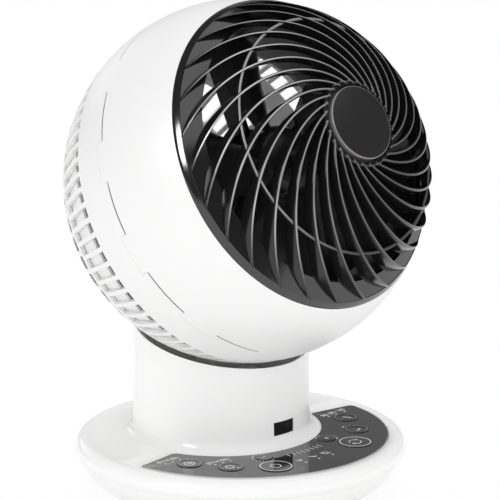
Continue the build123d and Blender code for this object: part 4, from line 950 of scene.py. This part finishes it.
# Rays stand round the outer half of each speed button.
for name in SMALL:
    x, y, radius = button_place(name)
    first = 45 if x < 0 else -45
    for k in range(RAY_COUNT):
        marks.append(spoke(x, y, first + RAY_PITCH * k, radius + RAY_INNER, radius + RAY_OUTER))
# Three programmes: waves of air, steady air, and night, each with its lamp.
for row in (-58.0, -59.6):
    marks.append([(-16.8 + 0.5 * k, row + 0.5 * math.sin(k * 1.1)) for k in range(9)])
marks += [[(-6.2, -57.6), (-1.8, -60.0)], [(-5.4, -58.9), (-2.6, -60.4)]]
marks += [bow(5.8, -59.3, 1.7, 0, 360), [(3.2, -57.5), (4.4, -58.4)],
          [(7.2, -60.4), (8.4, -61.3)]]
strokes("panel_marks", marks, "base", PANEL_TOP + PROUD, MARK_INK)
strokes("panel_lamps", [[(x - LAMP_HALF, y), (x + LAMP_HALF, y)] for x, y in lamps], "base",
        PANEL_TOP + PROUD, LAMP_INK)

# %% Marks on the buttons
CAP_RING_INSET = 0.55
DISH_SIGN_DROP = 0.22
HEAD_SPREAD = 32
MODE_RING, MODE_HEAD = 3.6, (3.384, 1.23)


def arrow_head(x, y, turn, size):
    """One polyline of two short strokes that meet in a point, aimed along turn."""
    ways = [math.radians(turn + 180 + spread) for spread in (-HEAD_SPREAD, HEAD_SPREAD)]
    return [[(x + size * math.cos(ways[0]), y + size * math.sin(ways[0])), (x, y),
             (x + size * math.cos(ways[1]), y + size * math.sin(ways[1]))]]


def dished_sign(name, x, y):
    """A clock, a moon with a tail, and two bent arrows: one for each dished button."""
    if name == "on_timer_button":
        return [bow(x, y, 2.9, 0, 360, 32), [(x, y + 1.6), (x, y), (x + 1.3, y - 0.6)]]
    if name == "off_timer_button":
        return [bow(x - 0.3, y + 0.6, 2.4, 0, 360, 32), [(x + 1.6, y - 3.2), (x + 2.6, y - 4.6)]]
    if name == "tilt_swing_button":
        arc, turn = bow(x - 0.9, y + 1.2, 3.2, 250, 330), 55
    else:
        arc, turn = bow(x - 1.6, y - 1.4, 3.2, 80, -25), -120
    return [arc] + arrow_head(*arc[-1], turn, 1.5)


for name in DISHED + FLAT + SMALL:
    x, y, radius = button_place(name)
    ring = [bow(x, y, radius - CAP_RING_INSET, 0, 360, 64)]
    if name in DISHED:
        strokes(name + "_ring", ring, name, BUTTON_TOP + PROUD, RING_INK, look="print_dim")
        strokes(name + "_sign", dished_sign(name, x, y), name, BUTTON_TOP - DISH_SIGN_DROP,
                SIGN_INK)
        continue
    if name == "power_button":
        ring += [bow(x, y, 3.0, 125, 415), [(x, y + 0.8), (x, y + 4.2)]]
    elif name == "mode_button":
        across, up = MODE_HEAD
        ring += [bow(x, y, MODE_RING, 20, 170)] + arrow_head(x + across, y + up, -70, 1.9)
        ring += [bow(x, y, MODE_RING, 200, 350)] + arrow_head(x - across, y - up, 110, 1.9)
    else:
        ring = [[(x - 1.6, y), (x + 1.6, y)]]
        if "plus" in name:
            ring += [[(x, y - 1.6), (x, y + 1.6)]]
    strokes(name + "_ring", ring, name, BUTTON_TOP + PROUD, BUTTON_INK)
print("marks drawn")

# %% [markdown]
# ## The panel's silver edge
# A thin bright line follows the panel's outer edge. It is a small rectangle spun through
# part of a turn about the base's centre, a hair proud of the panel.

# %% Silver edge
BASE_CENTRE = Vector((0, 4.4 * MM, 0))
PANEL_EDGE = 87.25
PANEL_END = 7.6
TRIM_WIDTH, TRIM_DEPTH = 0.55, 0.12
TRIM_INSET, TRIM_DROP = 0.30, 0.01
trim = bmesh.new()
bmesh.ops.create_cube(trim, size=1)
# One face of the cube is kept as the section; it stands half a unit off, and is moved back.
bmesh.ops.delete(trim, geom=[f for f in trim.faces if f.normal.y < 0.5], context="FACES")
bmesh.ops.scale(trim, vec=(TRIM_WIDTH * MM, 1, TRIM_DEPTH * MM), verts=trim.verts)
bmesh.ops.translate(trim, vec=((PANEL_EDGE - TRIM_INSET) * MM, -0.5, (PANEL_TOP - TRIM_DROP) * MM),
                    verts=trim.verts)
trim.transform(Matrix.Translation(BASE_CENTRE) @ Matrix.Rotation(math.radians(-PANEL_END), 4, "Z"))
bmesh.ops.spin(trim, geom=trim.faces[:], cent=BASE_CENTRE, axis=(0, 0, 1),
               angle=math.radians(2 * PANEL_END - 180), steps=120, use_duplicate=False)
to_piece("panel_edge", outward(trim), "base", "panel_grey", look="edge_silver")

# %% [markdown]
# ## Finishes for the solids that stay as they are
# Inner pieces keep their CAD shape, and only get the material that their slot names.

# %% Dress the remaining solids
for entry in frame["record"]["subparts"]:
    solid = nodes[entry["node"]]
    solid.data.materials.clear()
    solid.data.materials.append(FINISHES[entry["material_slot"]])

# %% [markdown]
# ## The floor
# The object stands on a plain white floor that runs to the horizon. To the camera and in
# gloss it glows almost fully white, so only a trace of shadow shows on it.

# %% Floor
FLOOR_SIZE = 12
FLOOR_WHITE = 0.95
PAPER_GLOW = 0.94
floor_work = bmesh.new()
bmesh.ops.create_grid(floor_work, x_segments=1, y_segments=1, size=FLOOR_SIZE)
floor_mesh = bpy.data.meshes.new("floor")
floor_work.to_mesh(floor_mesh)
floor_work.free()
floor = bpy.data.objects.new("floor", floor_mesh)
scene.collection.objects.link(floor)
paper = bpy.data.materials.new("floor_paper")
paper.use_nodes = True
paper_nodes, paper_links = paper.node_tree.nodes, paper.node_tree.links
matt = paper_nodes["Principled BSDF"]
matt.inputs["Base Color"].default_value = (FLOOR_WHITE, FLOOR_WHITE, FLOOR_WHITE, 1)
matt.inputs["Roughness"].default_value = 0.9
glow = paper_nodes.new("ShaderNodeEmission")
seen_by = paper_nodes.new("ShaderNodeLightPath")
in_gloss = paper_nodes.new("ShaderNodeMath")
in_gloss.operation = "MULTIPLY"
in_gloss.inputs[1].default_value = PAPER_GLOW
glow_share = paper_nodes.new("ShaderNodeMath")
glow_share.operation = "MULTIPLY_ADD"
glow_share.inputs[1].default_value = PAPER_GLOW
blend_paper = paper_nodes.new("ShaderNodeMixShader")
paper_links.new(seen_by.outputs["Is Glossy Ray"], in_gloss.inputs[0])
paper_links.new(seen_by.outputs["Is Camera Ray"], glow_share.inputs[0])
paper_links.new(in_gloss.outputs[0], glow_share.inputs[2])
paper_links.new(glow_share.outputs[0], blend_paper.inputs[0])
paper_links.new(matt.outputs[0], blend_paper.inputs[1])
paper_links.new(glow.outputs[0], blend_paper.inputs[2])
paper_links.new(blend_paper.outputs[0], paper_nodes["Material Output"].inputs["Surface"])
floor_mesh.materials.append(paper)
print("floor laid")
